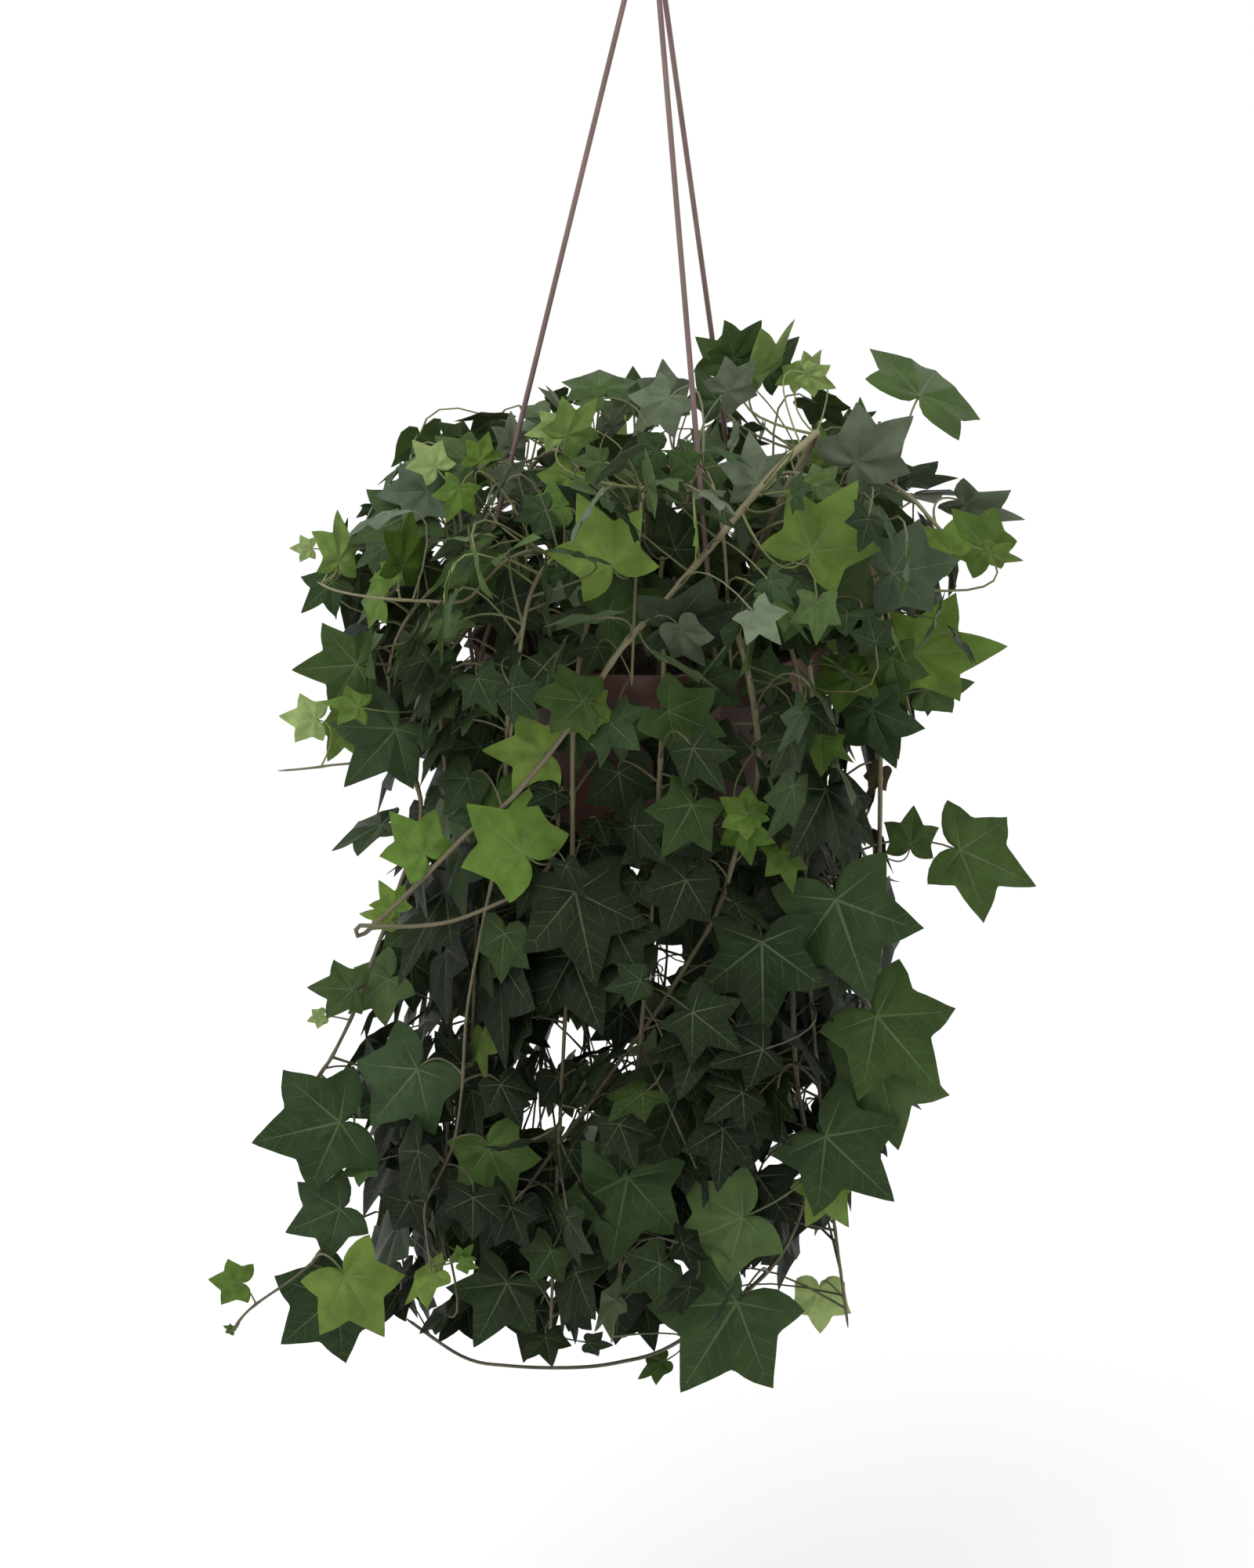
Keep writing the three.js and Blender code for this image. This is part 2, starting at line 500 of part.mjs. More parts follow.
function insideOutline([across, up]) {
  let inside = false;
  SILHOUETTE.forEach(([x1, y1], i) => {
    const [x2, y2] = SILHOUETTE[(i + 1) % SILHOUETTE.length];
    if ((y1 > up) !== (y2 > up) && across < x1 + ((x2 - x1) * (up - y1)) / (y2 - y1)) {
      inside = !inside;
    }
  });
  return inside;
}

const polar = (radius, azimuth, height) =>
  vec(radius * Math.cos(azimuth), radius * Math.sin(azimuth), RIM_Z + height);

// Hanger strands run straight from under their heads on the hub to their clips on the rim band
const strands = Object.entries(STRANDS).map(([side, degrees]) => {
  const azimuth = radians(degrees);
  const head = polar(STRAND_RING, azimuth, HUB_TOP + GAP - RIM_Z);
  const foot = polar(RIM_RADIUS + STRAND_RADIUS + GAP, azimuth, CLIP_RISE - 2);
  return { name: `hanger_strand_${side}`, azimuth, head, foot };
});

for (const { name, azimuth, head, foot } of strands) {
  const strandGuard = { edges: [], skin: [], kind: "strand", stem: name };
  addSquareTube(strandGuard.skin, strandGuard.edges, head, foot, STRAND_RADIUS + STEM_CLEAR, STRAND_RADIUS);
  const clipGuard = { edges: [], skin: [], kind: "strand", stem: name };
  const top = polar(RIM_RADIUS + CLIP_THICK, azimuth, CLIP_RISE);
  const bottom = polar(BAND_FOOT_RADIUS, azimuth, -BAND_HEIGHT - 4);
  const clipReach = CLIP_WIDTH / 2 + CLIP_THICK + STEM_CLEAR;
  addSquareTube(clipGuard.skin, clipGuard.edges, top, bottom, clipReach, CLIP_WIDTH / 2);
  placed.push(withReach(strandGuard), withReach(clipGuard));
}

// Stems
function layStem(kind, name, radius, root, points) {
  const soilTop = RIM_Z - SOIL_DROP;
  const foot = [vec(root[0], root[1], soilTop - ROOT_DEPTH), vec(root[0], root[1], soilTop + 4)];
  const curve = new THREE.CatmullRomCurve3([...foot, ...points], false, "catmullrom", 0.5);
  curve.arcLengthDivisions = 400;
  const steps = Math.round(curve.getLength() / STEM_STEP[kind]);
  return { kind, name, radius, root, curve, steps, nodes: curve.getSpacedPoints(steps), leaves: [] };
}

const stems = [];

function keepStem(stem) {
  stems.push(stem);
  placed.push(...stemBodies(stem));
}

for (const { name, radius, root, route } of LEADING_STEMS) {
  keepStem(layStem("leading", name, radius, root, route.map(([across, up, near]) => seen(across, up, near))));
}

// A crown stem rises from the soil, arches over the rim and droops at its tip
function crownStem(index, random) {
  const azimuth = (index + between(random, 0.2, 0.8)) * (2 * Math.PI / CROWN_STEMS);
  const turn = between(random, -0.3, 0.3);
  const rootRadius = between(random, 8, 46);
  const height = between(random, 44, 104);
  const reach = between(random, 112, 165);
  const droop = between(random, -30, 24);
  const root = [rootRadius * Math.cos(azimuth), rootRadius * Math.sin(azimuth)];
  return [root, [
    polar(rootRadius + 0.12 * (reach - rootRadius), azimuth, height * 0.55),
    polar(rootRadius + 0.42 * (reach - rootRadius), azimuth + 0.3 * turn, height),
    polar(rootRadius + 0.78 * (reach - rootRadius), azimuth + 0.7 * turn, height * 0.75),
    polar(reach, azimuth + turn, droop),
  ]];
}

// A trailer climbs over the rim and hangs past the pot
function trailerStem(index, random) {
  const azimuth = (index + between(random, 0.15, 0.85)) * (2 * Math.PI / TRAILERS);
  const rootRadius = between(random, 52, 71);
  const height = between(random, 14, 34);
  const waist = between(random, 106, 122);
  const drop = between(random, 275, 385);
  const swing = between(random, -0.3, 0.3);
  const flare = between(random, 0, 46);
  const root = [rootRadius * Math.cos(azimuth), rootRadius * Math.sin(azimuth)];
  const points = [
    polar(rootRadius + 14, azimuth, height * 0.8),
    polar(102, azimuth + 0.05 * swing, height),
    polar(waist + 4, azimuth + 0.1 * swing, -18),
  ];
  const hangs = 4;
  for (let i = 1; i <= hangs; i += 1) {
    const t = i / hangs;
    points.push(polar(waist + flare * t * t, azimuth + swing * t, -18 - (drop - 18) * t));
  }
  return [root, points];
}

const STEM_TRIES = 24;

function rootsApart(root) {
  return stems.every((stem) => Math.hypot(stem.root[0] - root[0], stem.root[1] - root[1]) > 8);
}

function growStem(kind, index, rule, radius) {
  for (let attempt = 0; attempt < STEM_TRIES; attempt += 1) {
    const random = randomStream(7000 + 977 * index + 31 * attempt + (kind === "crown" ? 0 : 50000));
    const [root, points] = rule(index, random);
    const stem = layStem(kind, `stem_${kind}_${index + 1}`, radius, root, points);
    const bodies = stemBodies(stem);
    if (rootsApart(root) && isClear(bodies) && edgesMissPot(bodies.slice(1))) {
      keepStem(stem);
      return;
    }
  }
}

for (let i = 0; i < CROWN_STEMS; i += 1) {
  growStem("crown", i, crownStem, 1.5);
}
for (let i = 0; i < TRAILERS; i += 1) {
  growStem("trailer", i, trailerStem, 1.5);
}

// Leaves
const FOOT_PITCH = 7;

// Points along a stem where a stalk may stand, clear of the pot and the soil
function feetOf(stem) {
  const feet = [];
  for (let i = 0; i + 1 < stem.nodes.length; i += 1) {
    const from = stem.nodes[i];
    const to = stem.nodes[i + 1];
    const count = Math.max(1, Math.floor(from.distanceTo(to) / FOOT_PITCH));
    for (let k = 0; k < count; k += 1) {
      const point = mix(from, to, (k + 0.5) / count);
      if (Math.hypot(point.x, point.y) > RIM_RADIUS || point.z > RIM_Z + 2) {
        feet.push({ point, stem, share: (i + k / count) / (stem.nodes.length - 1) });
      }
    }
  }
  return feet;
}

const allFeet = stems.flatMap(feetOf);

// A stalk leaves its blade backwards, or nearly square to it at the most
const MOST_FORWARD = 0.35;

function reachesBack(leaf) {
  const stalk = leaf.foot.clone().sub(leaf.joint);
  return stalk.dot(leaf.rib) < MOST_FORWARD * stalk.length();
}

function keepLeaf(leaf, stem, bodies) {
  stem.leaves.push(leaf);
  placed.push(...bodies);
}

// A leading leaf slides along the line of sight until it is clear, and stands on the nearest stem in reach
const SLIDES = [0, -5, 5, -10, 10, -16, 16, -23, 23, -31, 31];
const FEET_TRIED = 30;

function placeLeadingLeaf([name, at, tip, near, lean, roll, lobes, tone]) {
  const tilt = radians(lean);
  for (const slide of SLIDES) {
    const joint = seen(at[0], at[1], near + slide);
    const flat = seen(tip[0], tip[1], near + slide).sub(joint);
    const sight = unit(EYE.clone().sub(joint));
    const rib = unit(unit(flat).multiplyScalar(Math.cos(tilt)).addScaledVector(sight, Math.sin(tilt)));
    const frame = leafFrame(joint, rib, sight, radians(roll), flat.length() / Math.cos(tilt));
    const feet = allFeet.map((foot) => ({ ...foot, length: foot.point.distanceTo(joint) }))
      .filter((foot) => foot.length > SHORTEST_STALK && foot.length < LONGEST_STALK)
      .sort((one, other) => one.length - other.length)
      .slice(0, FEET_TRIED);
    for (const foot of feet) {
      const leaf = { ...frame, name, lobes, tone, bent: foot.length > LONGEST_STRAIGHT, foot: foot.point };
      const bodies = leafBody(leaf, foot.stem.name);
      if (!edgesMissPot(bodies.slice(0, 1)) || !isClear(bodies.slice(0, 1))) {
        break;
      }
      if (reachesBack(leaf) && edgesMissPot(bodies) && isClear(bodies)) {
        keepLeaf(leaf, foot.stem, bodies);
        return;
      }
    }
  }
}

LEADING_LEAVES.forEach(placeLeadingLeaf);

// The crowd stays inside the outline, clear of its open windows, and within a reach that follows the height
const WINDOWS = [[10, -178, 13], [-50, -238, 16], [-66, -272, 10], [-12, -243, 9], [-136, -88, 9],
  [-176, -234, 9]];
const CROWD_REACH = [[60, 215], [0, 205], [-60, 172], [-120, 150], [-180, 165], [-260, 185], [-400, 170]];

function crowdReach(height) {
  const next = CROWD_REACH.findIndex(([level]) => level < height);
  if (next === 0) {
    return CROWD_REACH[0][1];
  }
  if (next < 0) {
    return CROWD_REACH[CROWD_REACH.length - 1][1];
  }
  const [highLevel, highReach] = CROWD_REACH[next - 1];
  const [lowLevel, lowReach] = CROWD_REACH[next];
  return lowReach + ((highReach - lowReach) * (height - lowLevel)) / (highLevel - lowLevel);
}

function fitsCrowd(point) {
  const [across, up] = shown(point);
  const inWindow = WINDOWS.some(([x, y, radius]) => Math.hypot(across - x, up - y) < radius);
  const inReach = Math.hypot(point.x, point.y) < crowdReach(point.z - RIM_Z);
  return !inWindow && inReach && insideOutline([across, up]);
}

// A leaf of the crowd tries seeded poses at its foot until one is clear. Its longest stalk, its reach, how much
// of that is lost at the stem's tip, and its lobes follow its kind of stem: the hanging ones stand out furthest
const CROWD_TRIES = 40;
const HIGH = 30;
const YOUNG = { stalk: 44, reach: [36, 52], taper: 0.45, lobes: 3 };
const GROWN = { stalk: 84, reach: [46, 64], taper: 0, lobes: SHALLOW };
const CROWD_LEAVES = { leading: YOUNG, crown: YOUNG, trailer: GROWN };

function crowdPose({ point, share, stem }, index, attempt) {
  const { stalk: longest, reach: [least, most], taper, lobes } = CROWD_LEAVES[stem.kind];
  const random = randomStream(131 * index + 7 * attempt + 11);
  const out = unit(vec(point.x, point.y, 0));
  const aside = cross(UP, out);
  const high = point.z > RIM_Z + HIGH;
  const hand = (index + attempt) % 2 === 0 ? 1 : -1;
  const stalk = out.clone().multiplyScalar(between(random, 0.2, 1))
    .addScaledVector(aside, hand * between(random, 0.2, 1.1))
    .addScaledVector(UP, between(random, -0.1, high ? 1.2 : 0.8));
  const joint = along(point, unit(stalk), between(random, 14, longest));
  const rib = out.clone().multiplyScalar(between(random, 0.1, 0.9))
    .addScaledVector(aside, between(random, -0.8, 0.8))
    .addScaledVector(UP, high ? between(random, -0.7, 0.3) : between(random, -1.1, -0.2));
  const facing = out.clone().multiplyScalar(high ? 0.7 : 1)
    .addScaledVector(UP, between(random, 0.3, 1))
    .addScaledVector(aside, between(random, -0.5, 0.5));
  const roll = radians(between(random, -25, 25));
  const reach = between(random, least, most) * (1 - taper * share);
  const frame = leafFrame(joint, unit(rib), unit(facing), roll, reach);
  return { ...frame, lobes, tone: "crowd", bent: false, foot: point };
}

function placeCrowdLeaf(foot, index) {
  for (let attempt = 0; attempt < CROWD_TRIES; attempt += 1) {
    const leaf = crowdPose(foot, index, attempt);
    if (reachesBack(leaf) && outlinePoints(leaf, 0).every(fitsCrowd)) {
      const bodies = leafBody(leaf, foot.stem.name);
      if (edgesMissPot(bodies) && isClear(bodies)) {
        keepLeaf(leaf, foot.stem, bodies);
        return;
      }
    }
  }
}

// From the tip of each stem back to its root, a crowd leaf stands wherever there is no leaf near by
for (const stem of stems) {
  const feet = allFeet.filter((foot) => foot.stem === stem).reverse();
  for (const foot of feet) {
    const bare = stem.leaves.every((leaf) => leaf.foot.distanceTo(foot.point) > LEAF_SPACING[stem.kind]);
    if (bare) {
      placeCrowdLeaf(foot, allFeet.indexOf(foot));
    }
  }
}

// Solids
function toManifold(geometry) {
  const bare = geometry.clone();
  bare.deleteAttribute("normal");
  bare.deleteAttribute("uv");
  const merged = mergeVertices(bare, 1e-4);
  return new wasm.Manifold(new wasm.Mesh({
    numProp: 3,
    vertProperties: new Float32Array(merged.attributes.position.array),
    triVerts: new Uint32Array(merged.index.array),
  }));
}

// The largest connected skin of a fused mesh: a hollow that fusing sealed is filled and a loose scrap dropped
function largestSkin({ vertProperties, triVerts }) {
  const leader = Array.from({ length: vertProperties.length / 3 }, (_, i) => i);
  const find = (i) => {
    while (leader[i] !== i) {
      leader[i] = leader[leader[i]];
      i = leader[i];
    }
    return i;
  };
  for (let i = 0; i < triVerts.length; i += 3) {
    leader[find(triVerts[i + 1])] = find(triVerts[i]);
    leader[find(triVerts[i + 2])] = find(triVerts[i]);
  }
  const sizes = new Map();
  triVerts.forEach((corner) => sizes.set(find(corner), (sizes.get(find(corner)) ?? 0) + 1));
  const [largest] = [...sizes].sort((one, other) => other[1] - one[1])[0];
  return triVerts.filter((corner) => find(corner) === largest);
}

function toGeometry(manifold) {
  const mesh = manifold.getMesh();
  const geometry = new THREE.BufferGeometry();
  geometry.setAttribute("position", new THREE.BufferAttribute(mesh.vertProperties, 3));
  geometry.setIndex(new THREE.BufferAttribute(largestSkin(mesh), 1));
  return geometry;
}

function regularSection(radius, sides) {
  const corners = [];
  for (let i = 0; i < sides; i += 1) {
    const turn = (i / sides) * 2 * Math.PI;
    corners.push(new THREE.Vector2(radius * Math.cos(turn), radius * Math.sin(turn)));
  }
  return corners;
}

function tube(curve, radius, sides, steps) {
  const section = new THREE.Shape(regularSection(radius, sides));
  return new THREE.ExtrudeGeometry(section, { steps, extrudePath: curve });
}

// A leaf and its stalk as one closed body, with both faces of the blade split alike
function leafGeometry(leaf) {
  const width = STALK_RADIUS * (leaf.reach < 24 ? 0.75 : 1);
  const corners = [{ side: 0.95, face: 0.4 }, { side: -0.95, face: 0.4 }, { side: 0, face: -1.15 }];
  const stalk = stalkPoints(leaf);
  const end = stalk.length - 1;
  const after = (k) => stalk[Math.min(k + 1, end)].clone();
  const before = (k) => stalk[Math.max(k - 1, 0)];
  const headings = stalk.map((_, k) => unit(after(k).sub(before(k))));
  headings[0] = leaf.rib.clone().negate();
  let side = leaf.side.clone();
  let face = leaf.face.clone();
  const rings = stalk.map((centre, k) => {
    if (k > 0) {
      const bend = new THREE.Quaternion().setFromUnitVectors(headings[k - 1], headings[k]);
      side = side.clone().applyQuaternion(bend);
      face = face.clone().applyQuaternion(bend);
    }
    return corners.map((corner) => along(along(centre, side, corner.side * width), face, corner.face * width));
  });
  const top = outlinePoints(leaf, BLADE / 2);
  const bottom = outlinePoints(leaf, -BLADE / 2);
  const last = top.length - 1;
  const tip = last / 2;
  const [right, left, under] = rings[0];
  const faces = [[right, top[tip], left]];
  for (let i = 0; i < last; i += 1) {
    faces.push([i < tip ? right : left, top[i], top[i + 1]]);
    faces.push([under, bottom[i + 1], bottom[i]]);
    faces.push([top[i], bottom[i], top[i + 1]], [top[i + 1], bottom[i], bottom[i + 1]]);
  }
  faces.push([right, under, top[0]], [top[0], under, bottom[0]]);
  faces.push([top[last], bottom[last], left], [left, bottom[last], under]);
  for (let k = 0; k < end; k += 1) {
    for (const [a, b] of [[2, 0], [0, 1], [1, 2]]) {
      faces.push([rings[k][a], rings[k][b], rings[k + 1][b]], [rings[k][a], rings[k + 1][b], rings[k + 1][a]]);
    }
  }
  faces.push([rings[end][2], rings[end][0], rings[end][1]]);
  return new THREE.BufferGeometry().setFromPoints(faces.flat());
}

const plant = new THREE.Group();

function addPiece(name, geometry, color, roughness) {
  const mesh = new THREE.Mesh(geometry, new THREE.MeshStandardMaterial({ color, roughness, metalness: 0 }));
  mesh.name = name;
  plant.add(mesh);
}

function turned(profile, sides, height) {
  const points = profile.map(([radius, level]) => new THREE.Vector2(radius, level));
  const geometry = new THREE.LatheGeometry(points, sides);
  geometry.rotateX(Math.PI / 2);
  geometry.translate(0, 0, height);
  return geometry;
}

// Leafy stems
for (const stem of stems) {
  let solid = toManifold(tube(stem.curve, stem.radius, STEM_SIDES, stem.steps));
  for (const leaf of stem.leaves) {
    solid = solid.add(toManifold(leafGeometry(leaf)));
  }
  addPiece(stem.name, toGeometry(solid), IVY_GREEN, 0.5);
}

// Pot: a tapered shell with a stepped rim band, and drain holes in its base
const NECK = -BAND_HEIGHT - BAND_STEP;
const potProfile = [
  [0, -POT_HEIGHT], [BASE_RADIUS - BASE_EDGE, -POT_HEIGHT], [BASE_RADIUS, BASE_EDGE - POT_HEIGHT],
  [NECK_RADIUS, NECK], [BAND_FOOT_RADIUS, -BAND_HEIGHT], [RIM_RADIUS, 0],
  [RIM_RADIUS - WALL, 0], [BAND_FOOT_RADIUS - WALL, WALL - BAND_HEIGHT], [NECK_RADIUS - WALL, NECK + WALL],
  [BASE_RADIUS - WALL, WALL - POT_HEIGHT], [0, WALL - POT_HEIGHT],
];

function drainHole(index) {
  const turn = ((index + 0.5) / DRAIN_HOLES) * 2 * Math.PI;
  const hole = new THREE.CylinderGeometry(DRAIN_RADIUS, DRAIN_RADIUS, 3 * WALL, 6);
  hole.rotateX(Math.PI / 2);
  hole.translate(DRAIN_RING * Math.cos(turn), DRAIN_RING * Math.sin(turn), RIM_Z - POT_HEIGHT + WALL / 2);
  return toManifold(hole);
}

let pot = toManifold(turned(potProfile, ROUND_SIDES, RIM_Z));
for (let i = 0; i < DRAIN_HOLES; i += 1) {
  pot = pot.subtract(drainHole(i));
}
addPiece("pot", toGeometry(pot), 0x6b3a2e, 0.6);

// Soil: fills the pot to just under the rim, with a plain hole for each stem
const soilProfile = [
  [0, WALL + GAP - POT_HEIGHT], [BASE_RADIUS - WALL - GAP, WALL + GAP - POT_HEIGHT],
  [NECK_RADIUS - WALL - GAP, NECK + WALL + GAP / 2],
  [BAND_FOOT_RADIUS - WALL - GAP, WALL + 1.5 * GAP - BAND_HEIGHT],
  [BAND_FOOT_RADIUS - WALL + 2 * GAP, -SOIL_DROP], [0, -SOIL_DROP],
];

function stemRing(stem, index, radius) {
  const frames = stem.curve.computeFrenetFrames(stem.steps, false);
  return regularSection(radius, STEM_SIDES).map((corner) =>
    along(along(stem.nodes[index], frames.normals[index], corner.x), frames.binormals[index], corner.y));
}

function stemHole(stem) {
  const low = stemRing(stem, 0, stem.radius + HOLE_GAP).map((point) => along(point, UP, -GAP));
  const high = stemRing(stem, 1, stem.radius + HOLE_GAP);
  return toManifold(new ConvexGeometry([...low, ...high]));
}

let soil = toManifold(turned(soilProfile, ROUND_SIDES, RIM_Z));
for (const stem of stems) {
  soil = soil.subtract(stemHole(stem));
}
addPiece("soil", toGeometry(soil), 0x2e231c, 1);

// Hanger hook: a round disc with a bent wire hook standing on it, and a hole for each strand
const hookRoute = [[0, HUB_TOP - 2], [0, HUB_TOP + 7], [6.5, HUB_TOP + 13.5], [12.5, HUB_TOP + 20]].map(
  ([x, z]) => vec(x, 0, z));
for (let turn = 0; turn <= HOOK_SWEEP; turn += HOOK_SWEEP / 7) {
  const x = HOOK_BEND * Math.cos(radians(turn));
  const z = HOOK_WIRE - HOOK_BEND + HOOK_BEND * Math.sin(radians(turn));
  hookRoute.push(vec(x, 0, z));
}
hookRoute.push(vec(-HOOK_BEND - 3, 0, HOOK_WIRE - HOOK_BEND - 9));
const hookCurve = new THREE.CatmullRomCurve3(hookRoute, false, "centripetal");
const hubProfile = [
  [0, HUB_TOP - HUB_THICK], [HUB_RADIUS, HUB_TOP - HUB_THICK], [HUB_RADIUS, HUB_TOP - HUB_EDGE],
  [HUB_RADIUS - HUB_EDGE, HUB_TOP], [0, HUB_TOP],
];
let hook = toManifold(tube(hookCurve, HOOK_WIRE, 6, 18)).add(toManifold(turned(hubProfile, 12, 0)));

// Hanger strands: each has a head above the hub, and a clip that grips the rim band from outside and below
const bandFace = (height) => RIM_RADIUS + ((RIM_RADIUS - BAND_FOOT_RADIUS) * height) / BAND_HEIGHT;
const bandUnder = (radius) => NECK + (BAND_STEP * (radius - NECK_RADIUS)) / (BAND_FOOT_RADIUS - NECK_RADIUS);
const barbTip = NECK_RADIUS + 1.5;
const barbRoot = bandFace(-BAND_HEIGHT) + GAP;
const clipInside = bandFace(0) + GAP;
const clipOutline = [
  [barbTip, bandUnder(barbTip) - GAP], [barbRoot, bandUnder(barbRoot) - GAP], [clipInside, 0],
  [clipInside, CLIP_RISE], [clipInside + CLIP_THICK, CLIP_RISE], [clipInside + CLIP_THICK, 0],
  [barbRoot + CLIP_THICK, NECK - CLIP_THICK / 2], [barbTip, NECK - CLIP_THICK],
];

function clipGeometry(azimuth) {
  const shape = new THREE.Shape(clipOutline.map(([out, up]) => new THREE.Vector2(out, up)));
  const clip = new THREE.ExtrudeGeometry(shape, { depth: CLIP_WIDTH, bevelEnabled: false });
  clip.translate(0, 0, -CLIP_WIDTH / 2);
  clip.rotateX(Math.PI / 2);
  clip.rotateZ(azimuth);
  clip.translate(0, 0, RIM_Z);
  return toManifold(clip);
}

function headGeometry(point) {
  const head = new THREE.CylinderGeometry(STRAND_HEAD, STRAND_HEAD, HEAD_HEIGHT, 8);
  head.rotateX(Math.PI / 2);
  head.translate(point.x, point.y, point.z + HEAD_HEIGHT / 2);
  return toManifold(head);
}

for (const { name, azimuth, head, foot } of strands) {
  const heading = unit(foot.clone().sub(head));
  const start = along(head, heading, -HEAD_HEIGHT / 2);
  const bore = new THREE.LineCurve3(along(head, heading, -4), along(head, heading, 3 * HUB_THICK));
  hook = hook.subtract(toManifold(tube(bore, STRAND_RADIUS + HOLE_GAP, 6, 1)));
  const strand = toManifold(tube(new THREE.LineCurve3(start, foot), STRAND_RADIUS, 6, 1));
  addPiece(name, toGeometry(strand.add(headGeometry(head)).add(clipGeometry(azimuth))), HANGER_BROWN, 0.5);
}
addPiece("hook", toGeometry(hook), HANGER_BROWN, 0.5);

export default plant;
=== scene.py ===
"""Potted ivy: fine leaves, stems, pot, soil and hanger over the CAD frame, with lights and a camera.

Lengths are worked out in millimetres and written in metres. The origin is where the hook bears on its rod.
"""
import math

import bmesh
import bpy
import numpy as np
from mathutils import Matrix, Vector
from mathutils.bvhtree import BVHTree


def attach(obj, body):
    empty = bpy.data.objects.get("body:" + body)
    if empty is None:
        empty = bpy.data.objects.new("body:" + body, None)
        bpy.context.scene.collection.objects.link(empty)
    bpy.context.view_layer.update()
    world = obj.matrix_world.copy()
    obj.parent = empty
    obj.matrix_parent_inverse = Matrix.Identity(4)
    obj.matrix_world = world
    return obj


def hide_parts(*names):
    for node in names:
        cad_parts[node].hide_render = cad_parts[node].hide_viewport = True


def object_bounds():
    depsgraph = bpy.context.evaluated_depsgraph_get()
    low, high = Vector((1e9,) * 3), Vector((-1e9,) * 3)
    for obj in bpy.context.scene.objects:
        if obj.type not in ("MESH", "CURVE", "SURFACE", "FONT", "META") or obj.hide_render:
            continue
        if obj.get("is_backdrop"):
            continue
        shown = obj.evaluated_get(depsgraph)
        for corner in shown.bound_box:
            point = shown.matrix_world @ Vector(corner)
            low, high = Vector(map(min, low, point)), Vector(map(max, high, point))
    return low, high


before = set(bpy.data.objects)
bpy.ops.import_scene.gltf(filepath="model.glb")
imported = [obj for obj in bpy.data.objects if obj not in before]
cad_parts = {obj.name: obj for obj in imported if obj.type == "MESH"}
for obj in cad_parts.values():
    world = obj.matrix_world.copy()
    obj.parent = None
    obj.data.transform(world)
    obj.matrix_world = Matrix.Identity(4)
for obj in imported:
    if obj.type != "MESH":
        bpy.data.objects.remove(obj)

cad_low, cad_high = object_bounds()

MM = 0.001

# Dimensions shared with the part
RIM_RADIUS = 100
RIM_Z = -420
BAND_HEIGHT = 22
BAND_FOOT_RADIUS = 97
BAND_STEP = 2
NECK_RADIUS = 87
NECK = -BAND_HEIGHT - BAND_STEP
BASE_RADIUS = 50
POT_HEIGHT = 118
WALL = 2.4
GAP = 0.35
SOIL_DROP = 11
DRAIN_HOLES = 5
DRAIN_RADIUS = 4
DRAIN_RING = 30
HOOK_WIRE = 2.5
HOOK_BEND = 14.5
HOOK_SWEEP = 196
HUB_TOP = -44
HUB_THICK = 5
HUB_RADIUS = 10.5
STRAND_RADIUS = 1.5
STRAND_RING = 6.4
STRAND_HEAD = 2.4
HEAD_HEIGHT = 2.2
STRANDS = {"left": 186, "front_right": -70, "back_right": 54}
CLIP_WIDTH = 8
CLIP_THICK = 2
CLIP_RISE = 7

STEM_STEP = {"leading": 36, "crown": 38, "trailer": 64}
LEAF_SPACING = {"leading": 66, "crown": 50, "trailer": 32}
ROOT_DEPTH = 22
SHORTEST_STALK = 9
LONGEST_STALK = 92
LONGEST_STRAIGHT = 18
STALK_RADIUS = 0.9
YOUNG_REACH = 24

# The front view: a viewer in front of the pot and a little above it
VIEW_TILT = math.radians(15)
VIEW_DISTANCE = 1600
VIEW_CENTRE = (-12.4, -83.5)
PICTURE_HEIGHT = 888
HANG = 0.24


def vec(x, y, z):
    return np.array([x, y, z], float)


UP = vec(0, 0, 1)
VIEW_RIGHT = vec(1, 0, 0)
VIEW_UP = vec(0, math.sin(VIEW_TILT), math.cos(VIEW_TILT))
VIEW_NEAR = vec(0, -math.cos(VIEW_TILT), math.sin(VIEW_TILT))
RIM_CENTRE = vec(0, 0, RIM_Z)


def size(v):
    return math.sqrt(v[0] * v[0] + v[1] * v[1] + v[2] * v[2])


def unit(v):
    return v / size(v)


def cross(a, b):
    return vec(a[1] * b[2] - a[2] * b[1], a[2] * b[0] - a[0] * b[2], a[0] * b[1] - a[1] * b[0])


def mix(a, b, t):
    return a + (b - a) * t


def polar(radius, azimuth, height):
    return vec(radius * math.cos(azimuth), radius * math.sin(azimuth), RIM_Z + height)


def on_sight(x, y, depth):
    return RIM_CENTRE + VIEW_RIGHT * x + VIEW_UP * y + VIEW_NEAR * depth


EYE = on_sight(VIEW_CENTRE[0], VIEW_CENTRE[1], VIEW_DISTANCE)


def seen(across, up, near):
    """A place read from the front: across and up from the rim's centre, and near, towards the viewer."""
    depth = near + HANG * min(up, 0)
    scale = (VIEW_DISTANCE - depth) / VIEW_DISTANCE
    x = VIEW_CENTRE[0] + (across - VIEW_CENTRE[0]) * scale
    y = VIEW_CENTRE[1] + (up - VIEW_CENTRE[1]) * scale
    return on_sight(x, y, depth)


def shown(points):
    """Where points show on the front view, as across and up, the reverse of seen."""
    away = points - RIM_CENTRE
    scale = VIEW_DISTANCE / (VIEW_DISTANCE - away @ VIEW_NEAR)
    across = VIEW_CENTRE[0] + (away @ VIEW_RIGHT - VIEW_CENTRE[0]) * scale
    up = VIEW_CENTRE[1] + (away @ VIEW_UP - VIEW_CENTRE[1]) * scale
    return across, up


